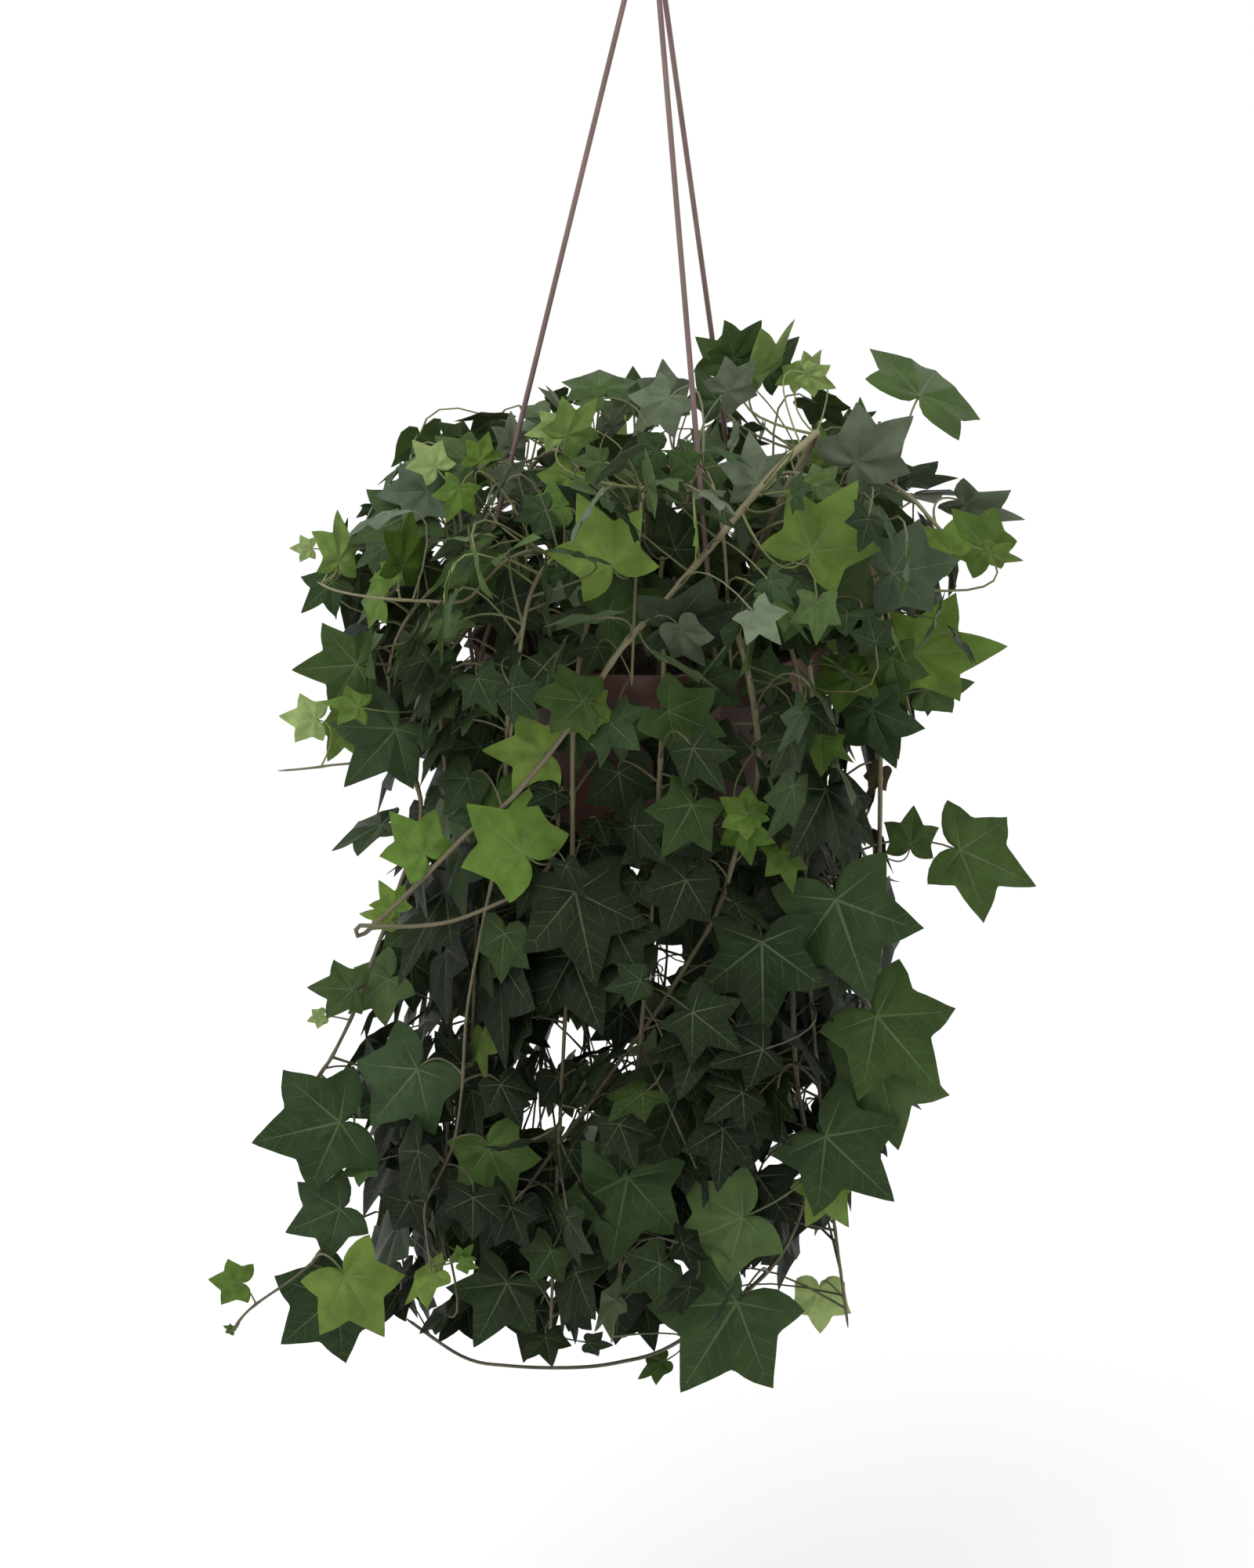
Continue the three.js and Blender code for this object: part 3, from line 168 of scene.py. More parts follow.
def outward(point):
    """The level way out from the pot's axis at a point, and the way aside."""
    out = unit(vec(point[0], point[1], 0))
    return out, cross(UP, out)


def within(polygon, x, y):
    """Which of the points x, y lie inside a polygon."""
    ahead = np.roll(polygon, -1, axis=0)
    level = ahead[:, 1] - polygon[:, 1]
    level = np.where(level == 0, 1e-9, level)
    x, y = x[:, None], y[:, None]
    edge = polygon[:, 0] + (ahead[:, 0] - polygon[:, 0]) * (y - polygon[:, 1]) / level
    crossing = ((polygon[:, 1] > y) != (ahead[:, 1] > y)) & (x < edge)
    return crossing.sum(1) % 2 == 1


WORD = 0xFFFFFFFF


def random_stream(seed):
    """Seeded random numbers between 0 and 1, the same stream as the part's."""
    state = seed & WORD

    def draw():
        nonlocal state
        state = (state + 0x6D2B79F5) & WORD
        t = ((state ^ (state >> 15)) * (state | 1)) & WORD
        t ^= (t + (((t ^ (t >> 7)) * (t | 61)) & WORD)) & WORD
        return ((t ^ (t >> 14)) & WORD) / 4294967296

    return draw


def between(draw, low, high):
    return low + (high - low) * draw()


def strand_ends(side):
    """The points where a hanger strand leaves the hub and where it meets the rim."""
    azimuth = math.radians(STRANDS[side])
    head = polar(STRAND_RING, azimuth, HUB_TOP + GAP - RIM_Z)
    return head, polar(RIM_RADIUS + STRAND_RADIUS + GAP, azimuth, CLIP_RISE - 2)


class Curve:
    """A Catmull-Rom curve through points, run along by its length."""

    PARTS = 400

    def __init__(self, points):
        first = 2 * points[0] - points[1]
        last = 2 * points[-1] - points[-2]
        self.knots = np.array([first, *points, last])
        self.spans = len(points) - 1
        stops = np.array([self.raw(i / self.PARTS) for i in range(self.PARTS + 1)])
        steps = np.sqrt(((stops[1:] - stops[:-1]) ** 2).sum(1))
        self.lengths = np.concatenate([[0.0], np.cumsum(steps)])
        self.length = float(self.lengths[-1])

    def raw(self, t):
        place = self.spans * t
        span = min(int(place), self.spans - 1)
        w = place - span
        before, start, end, after = self.knots[span:span + 4]
        out = 0.5 * (end - before)
        into = 0.5 * (after - start)
        return (start + out * w + (3 * (end - start) - 2 * out - into) * w * w
                + (2 * (start - end) + out + into) * w ** 3)

    def at(self, share):
        t = np.interp(share * self.length, self.lengths, np.arange(self.PARTS + 1)) / self.PARTS
        return self.raw(float(t))

    def spaced(self, steps):
        return [self.at(i / steps) for i in range(steps + 1)]


# Stems read from the front: name, radius, root in the soil, and the route as across, up and near
LEADING_STEMS = [
    ("stem_long_diagonal", 2.0, (46, 22), [
        (70, 67, 28), (88, 101, 52), (95, 115, 72), (90, 111, 88), (70, 92, 102), (37, 53, 120),
        (10, 21, 128), (-15, -6, 131), (-37, -39, 133), (-57, -67, 133), (-83, -97, 129),
        (-101, -110, 126), (-132, -141, 119), (-153, -161, 115), (-164, -170, 115), (-165, -164, 120),
        (-153, -164, 123), (-132, -164, 124), (-111, -161, 124), (-90, -153, 124), (-72, -144, 122),
        (-58, -132, 118), (-53, -117, 113), (-51, -100, 107),
    ]),
    ("stem_second_diagonal", 1.7, (34, -38), [
        (43, 16, 96), (54, -12, 114), (61, -52, 118), (61, -83, 116), (50, -119, 112), (39, -155, 108),
        (23, -183, 104), (3, -214, 100), (-17, -241, 98), (-39, -272, 96), (-61, -301, 94),
        (-77, -323, 90),
    ]),
    ("stem_bottom_loop", 1.8, (56, -30), [
        (76, 23, 84), (89, -8, 96), (94, -61, 92), (90, -119, 82), (82, -181, 76), (83, -243, 72),
        (90, -292, 70), (88, -319, 70), (76, -348, 70), (54, -372, 70), (12, -402, 66), (-17, -411, 62),
        (-44, -414, 60), (-79, -413, 58), (-105, -408, 56), (-138, -386, 54),
    ]),
    ("stem_left_trailer", 1.5, (-56, -14), [
        (-75, 19, 50), (-106, 10, 66), (-126, -21, 66), (-135, -66, 60), (-129, -101, 58),
        (-143, -146, 54), (-155, -179, 54), (-166, -210, 54), (-179, -237, 56), (-189, -254, 56),
        (-192, -283, 54), (-189, -319, 58), (-185, -345, 62), (-197, -360, 60), (-225, -380, 54),
        (-237, -394, 50),
    ]),
    ("stem_right_plumb", 1.8, (66, 2), [
        (81, 32, 30), (107, 32, 50), (124, 10, 60), (129, -21, 64), (131, -61, 64), (130, -132, 62),
        (124, -177, 64), (115, -226, 68), (102, -270, 72),
    ]),
    ("stem_left_arm", 1.3, (-34, -34), [
        (-41, 36, 60), (-61, 48, 76), (-79, 44, 84), (-93, 31, 88), (-105, 20, 88), (-126, 20, 86),
        (-155, 22, 78), (-177, 26, 68), (-188, 31, 60),
    ]),
    ("stem_right_arm", 1.7, (68, 26), [
        (81, 54, 10), (107, 76, 24), (127, 89, 38), (147, 80, 48), (161, 65, 52), (175, 50, 54),
    ]),
    ("stem_young_shoot", 1.3, (-50, -48), [
        (-61, 14, 88), (-77, -8, 108), (-80, -48, 112), (-83, -106, 110), (-94, -163, 106),
        (-103, -212, 104), (-106, -257, 108), (-111, -288, 110), (-121, -310, 112), (-127, -323, 112),
        (-126, -341, 110), (-123, -360, 108),
    ]),
    ("stem_left_twig", 1.2, (-70, 8), [
        (-86, 36, 20), (-115, 32, 36), (-137, 10, 48), (-147, -17, 54), (-146, -52, 56),
        (-159, -69, 54), (-181, -73, 50), (-197, -75, 48), (-210, -76, 46),
    ]),
]

# Leaves read from the front: name, joint, tip of the middle lobe, how near and the colour, which carries
# the light and shade painted on each leaf. Roll about the midrib, number of lobes and lean of the tip
# towards the viewer follow if they aren't 0, 5 and 0
LEADING_LEAVES = [
    ("top right oblique", (153, 136), (167, 158), 45, "mid", 0, 5, -62),
    ("top right spike", (120, 112), (121, 136), 18, "bright", 55, 3),
    ("top right dark", (117, 99), (150, 123), 62, "grey", 25, 5, 10),
    ("top right pale stub", (99, 101), (97, 123), 55, "bright", 50, 3),
    ("bright right", (92, 48), (119, 89), 136, "bright"),
    ("veined right", (138, 36), (177, 43), 100, "slate", 10),
    ("right edge a", (191, 50), (172, 73), 40, "bright", 15),
    ("right edge b", (179, 76), (213, 63), 22, "grey", 58, 5, -10),
    ("right edge c", (193, 48), (212, 42), 44, "bright", 50, 3),
    ("right edge d", (147, 91), (175, 87), 10, "grey", 62),
    ("right edge e", (171, 47), (152, 64), 56, "bright", 20),
    ("right wing", (150, -9), (202, -8), 34, "bright", 25, 5, 10),
    ("right wing low", (157, -30), (185, -27), 30, "mid", 30, 3),
    ("right under wing", (137, -12), (144, -40), 50, "mid", 15),
    ("right hang", (126, -41), (139, -76), 46, "dark", 30),
    ("right dry", (131, -76), (124, -90), 64, "dry", 40, 3),
    ("right star", (148, -118), (150, -96), 42, "mid"),
    ("right far", (176, -121), (223, -140), 36, "mid", -28, 5, -5),
    ("big right a", (106, -149), (125, -207), 118, "dark", 8, 5, 5),
    ("big right b", (64, -173), (65, -228), 126, "deep", 0, 5, 5),
    ("big right c", (129, -215), (165, -256), 100, "mid", -8, 5, 10),
    ("big right c low", (130, -240), (140, -291), 86, "mid", 15, 5, 5),
    ("big right d", (100, -283), (139, -320), 104, "dark", 0, 5, 5),
    ("big right d low", (97, -308), (115, -335), 86, "bright", -20),
    ("front low mid", (-12, -306), (-22, -357), 128, "dark", 0, 5, 10),
    ("front low bright", (53, -329), (11, -347), 136, "mid"),
    ("bottom right", (50, -377), (18, -428), 122, "dark", 0, 5, 5),
    ("hanging bright", (97, -370), (97, -396), 60, "pale", 0, 3),
    ("left low a", (-175, -275), (-226, -287), 62, "dark"),
    ("left low b", (-175, -324), (-207, -338), 74, "dark"),
    ("left low bright", (-172, -362), (-149, -398), 98, "bright"),
    ("left low behind", (-176, -373), (-210, -402), 76, "dark"),
    ("far left small", (-231, -366), (-250, -364), 52, "bright"),
    ("far left bud", (-236, -393), (-241, -390), 50, "bright", 40, 3),
    ("left bright", (-127, -123), (-147, -99), 122, "bright"),
    ("centre bright", (-71, -123), (-103, -95), 130, "bright"),
    ("left small bright", (-144, -154), (-153, -138), 116, "bright"),
    ("left small bright low", (-147, -160), (-164, -156), 108, "bright", 40, 3),
    ("left edge spear", (-151, -107), (-181, -119), 50, "dark", 66),
    ("left cluster a", (-143, -52), (-173, -87), 70, "dark", -10),
    ("left cluster b", (-165, -16), (-203, -19), 62, "mid"),
    ("left cluster c", (-189, -47), (-210, -45), 50, "pale"),
    ("left cluster d", (-164, -40), (-185, -36), 78, "bright", 35),
    ("left cluster e", (-171, -49), (-183, -71), 64, "bright", 20, 3),
    ("left star", (-192, 50), (-204, 50), 40, "pale"),
    ("left pale", (-176, 43), (-174, 72), 52, "pale", 45),
    ("left low pale", (-179, 37), (-190, 30), 54, "pale", 40, 3),
    ("left small dark", (-179, 31), (-198, 14), 44, "dark", 25),
    ("left upper dark", (-133, 70), (-170, 54), 50, "mid", 25, 5, 5),
    ("left bright fold", (-140, 40), (-132, 73), 80, "bright", 52),
    ("left bright fold low", (-142, 38), (-159, 32), 76, "bright", 40, 3),
    ("left grey", (-125, 82), (-154, 81), 46, "grey", 25, 5, 10),
    ("left crown a", (-121, 96), (-134, 112), 60, "pale", 15),
    ("left crown b", (-101, 98), (-121, 115), 50, "mid", 30),
    ("left crown c", (-96, 99), (-90, 116), 58, "bright", 20),
    ("left crown star", (-107, 84), (-115, 64), 84, "bright"),
    ("left crown grey", (-83, 89), (-69, 99), 66, "grey", 25),
    ("left top small", (-78, 107), (-77, 128), 30, "grey", 40),
    ("butterfly", (-28, 139), (-28, 155), 30, "mid", 0, 5, -60),
    ("butterfly low", (-29, 135), (-44, 133), 34, "mid", 40, 3, -30),
    ("pale top a", (-47, 114), (-28, 134), 82, "pale", 30),
    ("pale top b", (-50, 118), (-71, 115), 74, "pale", 30),
    ("top lance", (-22, 118), (-10, 133), 60, "grey", 60, 3),
    ("grey top a", (11, 135), (-10, 114), 52, "grey", 20),
    ("grey top b", (10, 133), (9, 158), 40, "grey", 25),
    ("grey top c", (39, 133), (26, 152), 34, "dark", 10),
    ("crown top a", (44, 155), (26, 170), 16, "mid"),
    ("crown top b", (48, 157), (65, 179), 24, "mid", 25),
    ("crown top c", (66, 151), (86, 170), 30, "dark", 10),
    ("crown top d", (59, 148), (86, 177), 40, "pale", 66),
    ("crown top e", (44, 139), (62, 156), 48, "grey", 30),
    ("cluster top a", (89, 150), (99, 162), 60, "pale", 40),
    ("cluster top b", (90, 148), (106, 140), 66, "pale", 20, 3),
    ("cluster top c", (86, 149), (71, 143), 62, "pale", 30, 3),
    ("front dark crown", (61, 86), (57, 117), 88, "grey", 5),
    ("front dark crown low", (54, 89), (72, 72), 84, "dark", 40),
    ("bright left", (-21, 40), (-41, 82), 132, "bright"),
    ("veined centre", (15, 49), (36, 79), 104, "dark", 5),
    ("veined centre low", (23, 43), (49, 31), 98, "mid", 30),
    ("dark crown left", (-59, 71), (-77, 66), 94, "dark", 15),
    ("dark left front", (-83, 20), (-58, 3), 98, "deep", 10, 5, 5),
    ("under bright", (-23, 11), (10, 25), 104, "mid", 15),
    ("grey point", (12, 6), (65, 15), 116, "slate", 56),
    ("grey point low", (18, 4), (31, -18), 112, "grey", 30, 3),
    ("rim left", (-49, -17), (-77, -16), 108, "dark", 10),
    ("rim light", (-37, -37), (-70, -32), 122, "mid", 25),
    ("stem light", (-59, -66), (-95, -64), 130, "bright", 5),
    ("left under arc", (-95, -62), (-120, -66), 88, "dark"),
    ("front point", (11, -42), (44, -58), 112, "mid", 25),
    ("mid right light", (117, -22), (84, -31), 94, "bright", 38),
    ("mid right dark", (70, -25), (49, -12), 98, "dark"),
    ("small bright a", (57, -102), (40, -91), 128, "bright"),
    ("small bright b", (59, -101), (69, -104), 124, "bright", 0, 3),
    ("small bright c", (54, -106), (57, -131), 126, "bright", 20),
    ("front dark a", (-17, -77), (-12, -108), 104, "deep", 10),
    ("loop leaf a", (-34, -400), (-20, -402), 66, "deep", 30, 3),
    ("loop leaf b", (8, -411), (-7, -420), 64, "mid", 40, 3),
    ("low dark big", (-80, -366), (-100, -404), 72, "deep"),
    ("low mid a", (-91, -289), (-77, -323), 110, "mid", 10),
    ("low mid b", (-131, -245), (-159, -278), 92, "dark", 5),
    ("low small a", (-160, -299), (-175, -305), 80, "mid", 25),
    ("low edge leaf", (-121, -361), (-140, -377), 112, "bright", 55),
    ("low spark a", (-107, -353), (-99, -344), 106, "bright", 20, 3),
    ("low spark b", (-106, -355), (-96, -358), 108, "bright", 30, 3),
    ("left waist a", (-168, -200), (-194, -198), 54, "mid", 15),
    ("left waist b", (-147, -194), (-172, -213), 66, "mid", 30),
    ("left waist c", (-185, -215), (-194, -218), 58, "pale", 0, 3),
]

# The part's own rule for its other stems and leaves is run again, and its solids say which tries they hold
CROWN_STEMS = 13
TRAILERS = 12


def both_sides(half):
    """The corners of one side of a leaf up to its tip, and the same down the other side."""
    return half + [(-angle, share, lift) for angle, share, lift in reversed(half[:-1])]


# The key of the outline with three shallow lobes, beside those with 5 and with 3
SHALLOW = 1
# Corners of the part's leaves: angle off the midrib, reach as a share of the midrib, and lift off the blade
OUTLINES = {
    5: both_sides([(116, 0.56, -0.02), (86, 0.49, 0.03), (54, 0.8, -0.06), (27, 0.62, 0.03), (0, 1, -0.1)]),
    3: both_sides([(108, 0.5, 0), (51, 0.78, -0.05), (25, 0.6, 0.03), (0, 1, -0.08)]),
    SHALLOW: both_sides([(110, 0.5, 0), (58, 0.74, -0.05), (0, 1, -0.08)]),
}
BLADE = 0.7


def leaf_frame(joint, rib, facing, roll, reach):
    """A leaf's joint, its rib towards the tip, its upper face, its side and its reach along the midrib."""
    face = cross(unit(cross(rib, facing)), rib)
    turned = face * math.cos(roll) + cross(rib, face) * math.sin(roll)
    return {"joint": joint, "rib": rib, "face": turned, "side": cross(rib, turned), "reach": reach}


def outline_points(leaf, offset):
    points = []
    for angle, share, lift in OUTLINES[leaf["lobes"]]:
        turn = math.radians(angle)
        out = leaf["reach"] * share
        points.append(leaf["joint"] + leaf["rib"] * (out * math.cos(turn))
                      + leaf["side"] * (out * math.sin(turn))
                      + leaf["face"] * (leaf["reach"] * lift + offset))
    return points


# How near a point lies to a solid's skin when it is on it, in metres
SAME = 2e-5


def skin_of(node):
    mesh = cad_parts[node].data
    corners = [v.co.copy() for v in mesh.vertices]
    return BVHTree.FromPolygons(corners, [tuple(p.vertices) for p in mesh.polygons])


def on_skin(skin, point):
    return skin.find_nearest(Vector(point * MM), SAME)[0] is not None


def lay_stem(kind, name, radius, root, points):
    soil_top = RIM_Z - SOIL_DROP
    foot = [vec(root[0], root[1], soil_top - ROOT_DEPTH), vec(root[0], root[1], soil_top + 4)]
    curve = Curve(foot + points)
    steps = math.floor(curve.length / STEM_STEP[kind] + 0.5)
    return {"kind": kind, "name": name, "radius": radius, "curve": curve, "nodes": curve.spaced(steps),
            "leaves": [], "skin": skin_of(name)}


def crown_stem(index, draw):
    """A crown stem rises from the soil, arches over the rim and droops at its tip."""
    azimuth = (index + between(draw, 0.2, 0.8)) * (2 * math.pi / CROWN_STEMS)
    turn = between(draw, -0.3, 0.3)
    root_radius = between(draw, 8, 46)
    height = between(draw, 44, 104)
    reach = between(draw, 112, 165)
    droop = between(draw, -30, 24)
    root = (root_radius * math.cos(azimuth), root_radius * math.sin(azimuth))
    return root, [
        polar(root_radius + 0.12 * (reach - root_radius), azimuth, height * 0.55),
        polar(root_radius + 0.42 * (reach - root_radius), azimuth + 0.3 * turn, height),
        polar(root_radius + 0.78 * (reach - root_radius), azimuth + 0.7 * turn, height * 0.75),
        polar(reach, azimuth + turn, droop),
    ]


def trailer_stem(index, draw):
    """A trailer climbs over the rim and hangs past the pot."""
    azimuth = (index + between(draw, 0.15, 0.85)) * (2 * math.pi / TRAILERS)
    root_radius = between(draw, 52, 71)
    height = between(draw, 14, 34)
    waist = between(draw, 106, 122)
    drop = between(draw, 275, 385)
    swing = between(draw, -0.3, 0.3)
    flare = between(draw, 0, 46)
    root = (root_radius * math.cos(azimuth), root_radius * math.sin(azimuth))
    points = [
        polar(root_radius + 14, azimuth, height * 0.8),
        polar(102, azimuth + 0.05 * swing, height),
        polar(waist + 4, azimuth + 0.1 * swing, -18),
    ]
    hangs = 4
    for i in range(1, hangs + 1):
        t = i / hangs
        points.append(polar(waist + flare * t * t, azimuth + swing * t, -18 - (drop - 18) * t))
    return root, points


STEM_TRIES = 24
STEM_RADIUS = 1.5
stems = []


def grow_stem(kind, index, rule, seed):
    name = f"stem_{kind}_{index + 1}"
    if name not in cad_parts:
        return
    for attempt in range(STEM_TRIES):
        root, points = rule(index, random_stream(seed + 977 * index + 31 * attempt))
        stem = lay_stem(kind, name, STEM_RADIUS, root, points)
        if on_skin(stem["skin"], stem["nodes"][0]):
            stems.append(stem)
            return
    raise RuntimeError(f"{name} isn't where the part has it")


for name, radius, root, route in LEADING_STEMS:
    stems.append(lay_stem("leading", name, radius, root, [seen(*place) for place in route]))
for index in range(CROWN_STEMS):
    grow_stem("crown", index, crown_stem, 7000)
for index in range(TRAILERS):
    grow_stem("trailer", index, trailer_stem, 57000)

FOOT_PITCH = 7


def feet_of(stem):
    """Points along a stem where a stalk may stand, clear of the pot and the soil."""
    feet = []
    nodes = stem["nodes"]
    last = len(nodes) - 1
    for i in range(last):
        start, end = nodes[i], nodes[i + 1]
        count = max(1, math.floor(size(end - start) / FOOT_PITCH))
        for k in range(count):
            point = mix(start, end, (k + 0.5) / count)
            if math.hypot(point[0], point[1]) > RIM_RADIUS or point[2] > RIM_Z + 2:
                feet.append({"point": point, "stem": stem, "share": (i + k / count) / last,
                             "place": (i + (k + 0.5) / count) / last})
    return feet


all_feet = [foot for stem in stems for foot in feet_of(stem)]
for index, foot in enumerate(all_feet):
    foot["index"] = index

SLIDES = [0, -5, 5, -10, 10, -16, 16, -23, 23, -31, 31]
KEY_CORNERS = {5: (2, 4, 6), 3: (1, 3, 5), SHALLOW: (1, 2, 3)}


def blade_on(skin, leaf):
    """Whether a CAD node has this very blade: the tips of its three main lobes lie on the node's skin."""
    corners = outline_points(leaf, BLADE / 2)
    return all(on_skin(skin, corners[i]) for i in KEY_CORNERS[leaf["lobes"]])


def stalk_middle(leaf, foot):
    """The point that a bent stalk passes on its way to its foot, or the foot of a straight one."""
    length = size(foot - leaf["joint"])
    if length <= LONGEST_STRAIGHT:
        return foot
    control = leaf["joint"] - leaf["rib"] * (0.6 * length)
    return mix(mix(leaf["joint"], control, 0.5), mix(control, foot, 0.5), 0.5)


def stalk_on(skin, leaf, foot):
    """Whether a CAD node has the stalk from this foot: its lower edge lies on the node's skin."""
    drop = 1.15 * STALK_RADIUS * (0.75 if leaf["reach"] < YOUNG_REACH else 1)
    face = turned_by(-leaf["rib"], unit(foot - leaf["joint"]), leaf["face"])
    near_end = leaf["joint"] - leaf["face"] * drop
    far_end = stalk_middle(leaf, foot) - face * drop
    return any(on_skin(skin, mix(near_end, far_end, share)) for share in (0.3, 0.5, 0.7))


def turned_by(start, end, v):
    """The vector v after the shortest turn that brings start to end."""
    axis = cross(start, end)
    cosine = float(start @ end)
    if size(axis) < 1e-9:
        return v
    return v * cosine + cross(axis, v) + axis * (float(axis @ v) / (1 + cosine))


def place_leading_leaf(name, at, tip, near, tone, roll=0, lobes=5, lean=0):
    tilt = math.radians(lean)
    for slide in SLIDES:
        joint = seen(at[0], at[1], near + slide)
        flat = seen(tip[0], tip[1], near + slide) - joint
        sight = unit(EYE - joint)
        rib = unit(unit(flat) * math.cos(tilt) + sight * math.sin(tilt))
        leaf = leaf_frame(joint, rib, sight, math.radians(roll), size(flat) / math.cos(tilt))
        leaf.update(name=name, lobes=lobes, tone=tone)
        for stem in stems:
            if not blade_on(stem["skin"], leaf):
                continue
            feet = [(size(foot["point"] - joint), foot) for foot in all_feet if foot["stem"] is stem]
            feet = sorted((f for f in feet if SHORTEST_STALK < f[0] < LONGEST_STALK), key=lambda f: f[0])
            for length, foot in feet:
                if stalk_on(stem["skin"], leaf, foot["point"]):
                    leaf.update(foot=foot, bent=length > LONGEST_STRAIGHT)
                    stem["leaves"].append(leaf)
                    return
            raise RuntimeError(f"the stalk of {name} isn't found")
    raise RuntimeError(f"the leaf {name} isn't found")


for row in LEADING_LEAVES:
    place_leading_leaf(*row)

# The part's crowd leaves by their kind of stem: longest stalk, reach, what the tip loses of it, and lobes
CROWD_TRIES = 40
HIGH = 30
YOUNG = {"stalk": 44, "reach": (36, 52), "taper": 0.45, "lobes": 3}
GROWN = {"stalk": 84, "reach": (46, 64), "taper": 0, "lobes": SHALLOW}
CROWD_LEAVES = {"leading": YOUNG, "crown": YOUNG, "trailer": GROWN}


def crowd_pose(foot, index, attempt):
    draw = random_stream(131 * index + 7 * attempt + 11)
    point, share = foot["point"], foot["share"]
    rule = CROWD_LEAVES[foot["stem"]["kind"]]
    out, aside = outward(point)
    high = point[2] > RIM_Z + HIGH
    hand = 1 if (index + attempt) % 2 == 0 else -1
    stalk = out * between(draw, 0.2, 1)
    stalk = stalk + aside * (hand * between(draw, 0.2, 1.1))
    stalk = stalk + UP * between(draw, -0.1, 1.2 if high else 0.8)
    joint = point + unit(stalk) * between(draw, 14, rule["stalk"])
    rib = out * between(draw, 0.1, 0.9)
    rib = rib + aside * between(draw, -0.8, 0.8)
    rib = rib + UP * (between(draw, -0.7, 0.3) if high else between(draw, -1.1, -0.2))
    facing = out * (0.7 if high else 1)
    facing = facing + UP * between(draw, 0.3, 1)
    facing = facing + aside * between(draw, -0.5, 0.5)
    roll = math.radians(between(draw, -25, 25))
    reach = between(draw, *rule["reach"]) * (1 - rule["taper"] * share)
    leaf = leaf_frame(joint, unit(rib), unit(facing), roll, reach)
    leaf.update(name="crowd", lobes=rule["lobes"], tone="crowd", foot=foot, bent=False)
    return leaf


for stem in stems:
    for foot in reversed([foot for foot in all_feet if foot["stem"] is stem]):
        spacing = LEAF_SPACING[stem["kind"]]
        if any(size(leaf["foot"]["point"] - foot["point"]) <= spacing for leaf in stem["leaves"]):
            continue
        for attempt in range(CROWD_TRIES):
            leaf = crowd_pose(foot, foot["index"], attempt)
            if blade_on(stem["skin"], leaf):
                stem["leaves"].append(leaf)
                break

# The front view's outline of the whole plant, as across and up
SILHOUETTE = np.array([
    (-140, 120), (-100, 128), (-70, 136), (-50, 158), (-20, 162), (14, 162), (24, 178), (62, 182),
    (90, 174), (104, 158), (106, 130), (124, 138), (148, 126), (148, 98), (176, 90), (206, 66),
    (184, 40), (166, 10), (196, -8), (178, -30), (148, -57), (138, -77), (126, -98), (148, -100),
    (196, -112), (208, -134), (148, -134), (144, -168), (126, -199), (160, -230), (162, -256),
    (144, -283), (130, -310), (112, -332), (84, -350), (78, -372), (80, -412), (50, -394), (24, -420),
    (-12, -416), (-56, -414), (-100, -410), (-140, -390), (-164, -402), (-198, -392), (-190, -350),
    (-202, -310), (-190, -306), (-220, -286), (-208, -254), (-186, -248), (-168, -222), (-188, -200),
    (-160, -178), (-164, -168), (-150, -138), (-176, -114), (-146, -92), (-172, -86), (-180, -66),
    (-206, -52), (-200, -18), (-186, 10), (-194, 18), (-190, 54), (-172, 72), (-156, 86),
], float)


# Windows left open in the foliage, as across, up and radius, and how far it reaches out by height
WINDOWS = [
    (12, -182, 8), (4, -196, 5), (-46, -228, 8), (-58, -244, 6), (-12, -243, 5), (-66, -272, 7),
    (-136, -88, 8), (-176, -234, 9), (92, -262, 6), (72, -300, 5), (63, 132, 9), (80, 120, 6),
    (-67, 100, 6), (-35, 125, 5), (11, 112, 5), (34, 126, 4), (-119, 63, 5), (-104, -12, 5), (118, -78, 6),
]
REACH_HEIGHTS = [-400, -260, -180, -120, -60, 0, 60]
REACHES = [170, 185, 165, 150, 172, 205, 215]
POT_CLEAR = 3
BOX_SLACK = 4
BOX_LOW = np.array(cad_low) / MM - vec(BOX_SLACK, BOX_SLACK, 0)
BOX_HIGH = np.array(cad_high) / MM + vec(BOX_SLACK, BOX_SLACK, 0)


def fits(points):
    """Whether points stay inside the outline and the reach, and out of the windows."""
    reach = np.hypot(points[:, 0], points[:, 1])
    if np.any(reach > np.interp(points[:, 2] - RIM_Z, REACH_HEIGHTS, REACHES)):
        return False
    if np.any(points < BOX_LOW) or np.any(points > BOX_HIGH):
        return False
    across, up = shown(points)
    for x, y, radius in WINDOWS:
        if np.any(np.hypot(across - x, up - y) < radius):
            return False
    return bool(np.all(within(SILHOUETTE, across, up)))


def misses_pot(points):
    """Whether points stay clear of the pot, its clips and its soil."""
    height = points[:, 2] - RIM_Z
    radius = np.hypot(points[:, 0], points[:, 1])
    level = (height > POT_CLEAR) | (height < -POT_HEIGHT - POT_CLEAR)
    inside = (radius < BAND_FOOT_RADIUS - 2 * WALL - POT_CLEAR) & (height > POT_CLEAR - SOIL_DROP)
    slope = (-BAND_HEIGHT - height) / (POT_HEIGHT - BAND_HEIGHT)
    wall = np.where(height > -BAND_HEIGHT, RIM_RADIUS, NECK_RADIUS + (BASE_RADIUS - NECK_RADIUS) * slope)
    return bool(np.all(level | inside | (radius > wall + POT_CLEAR)))


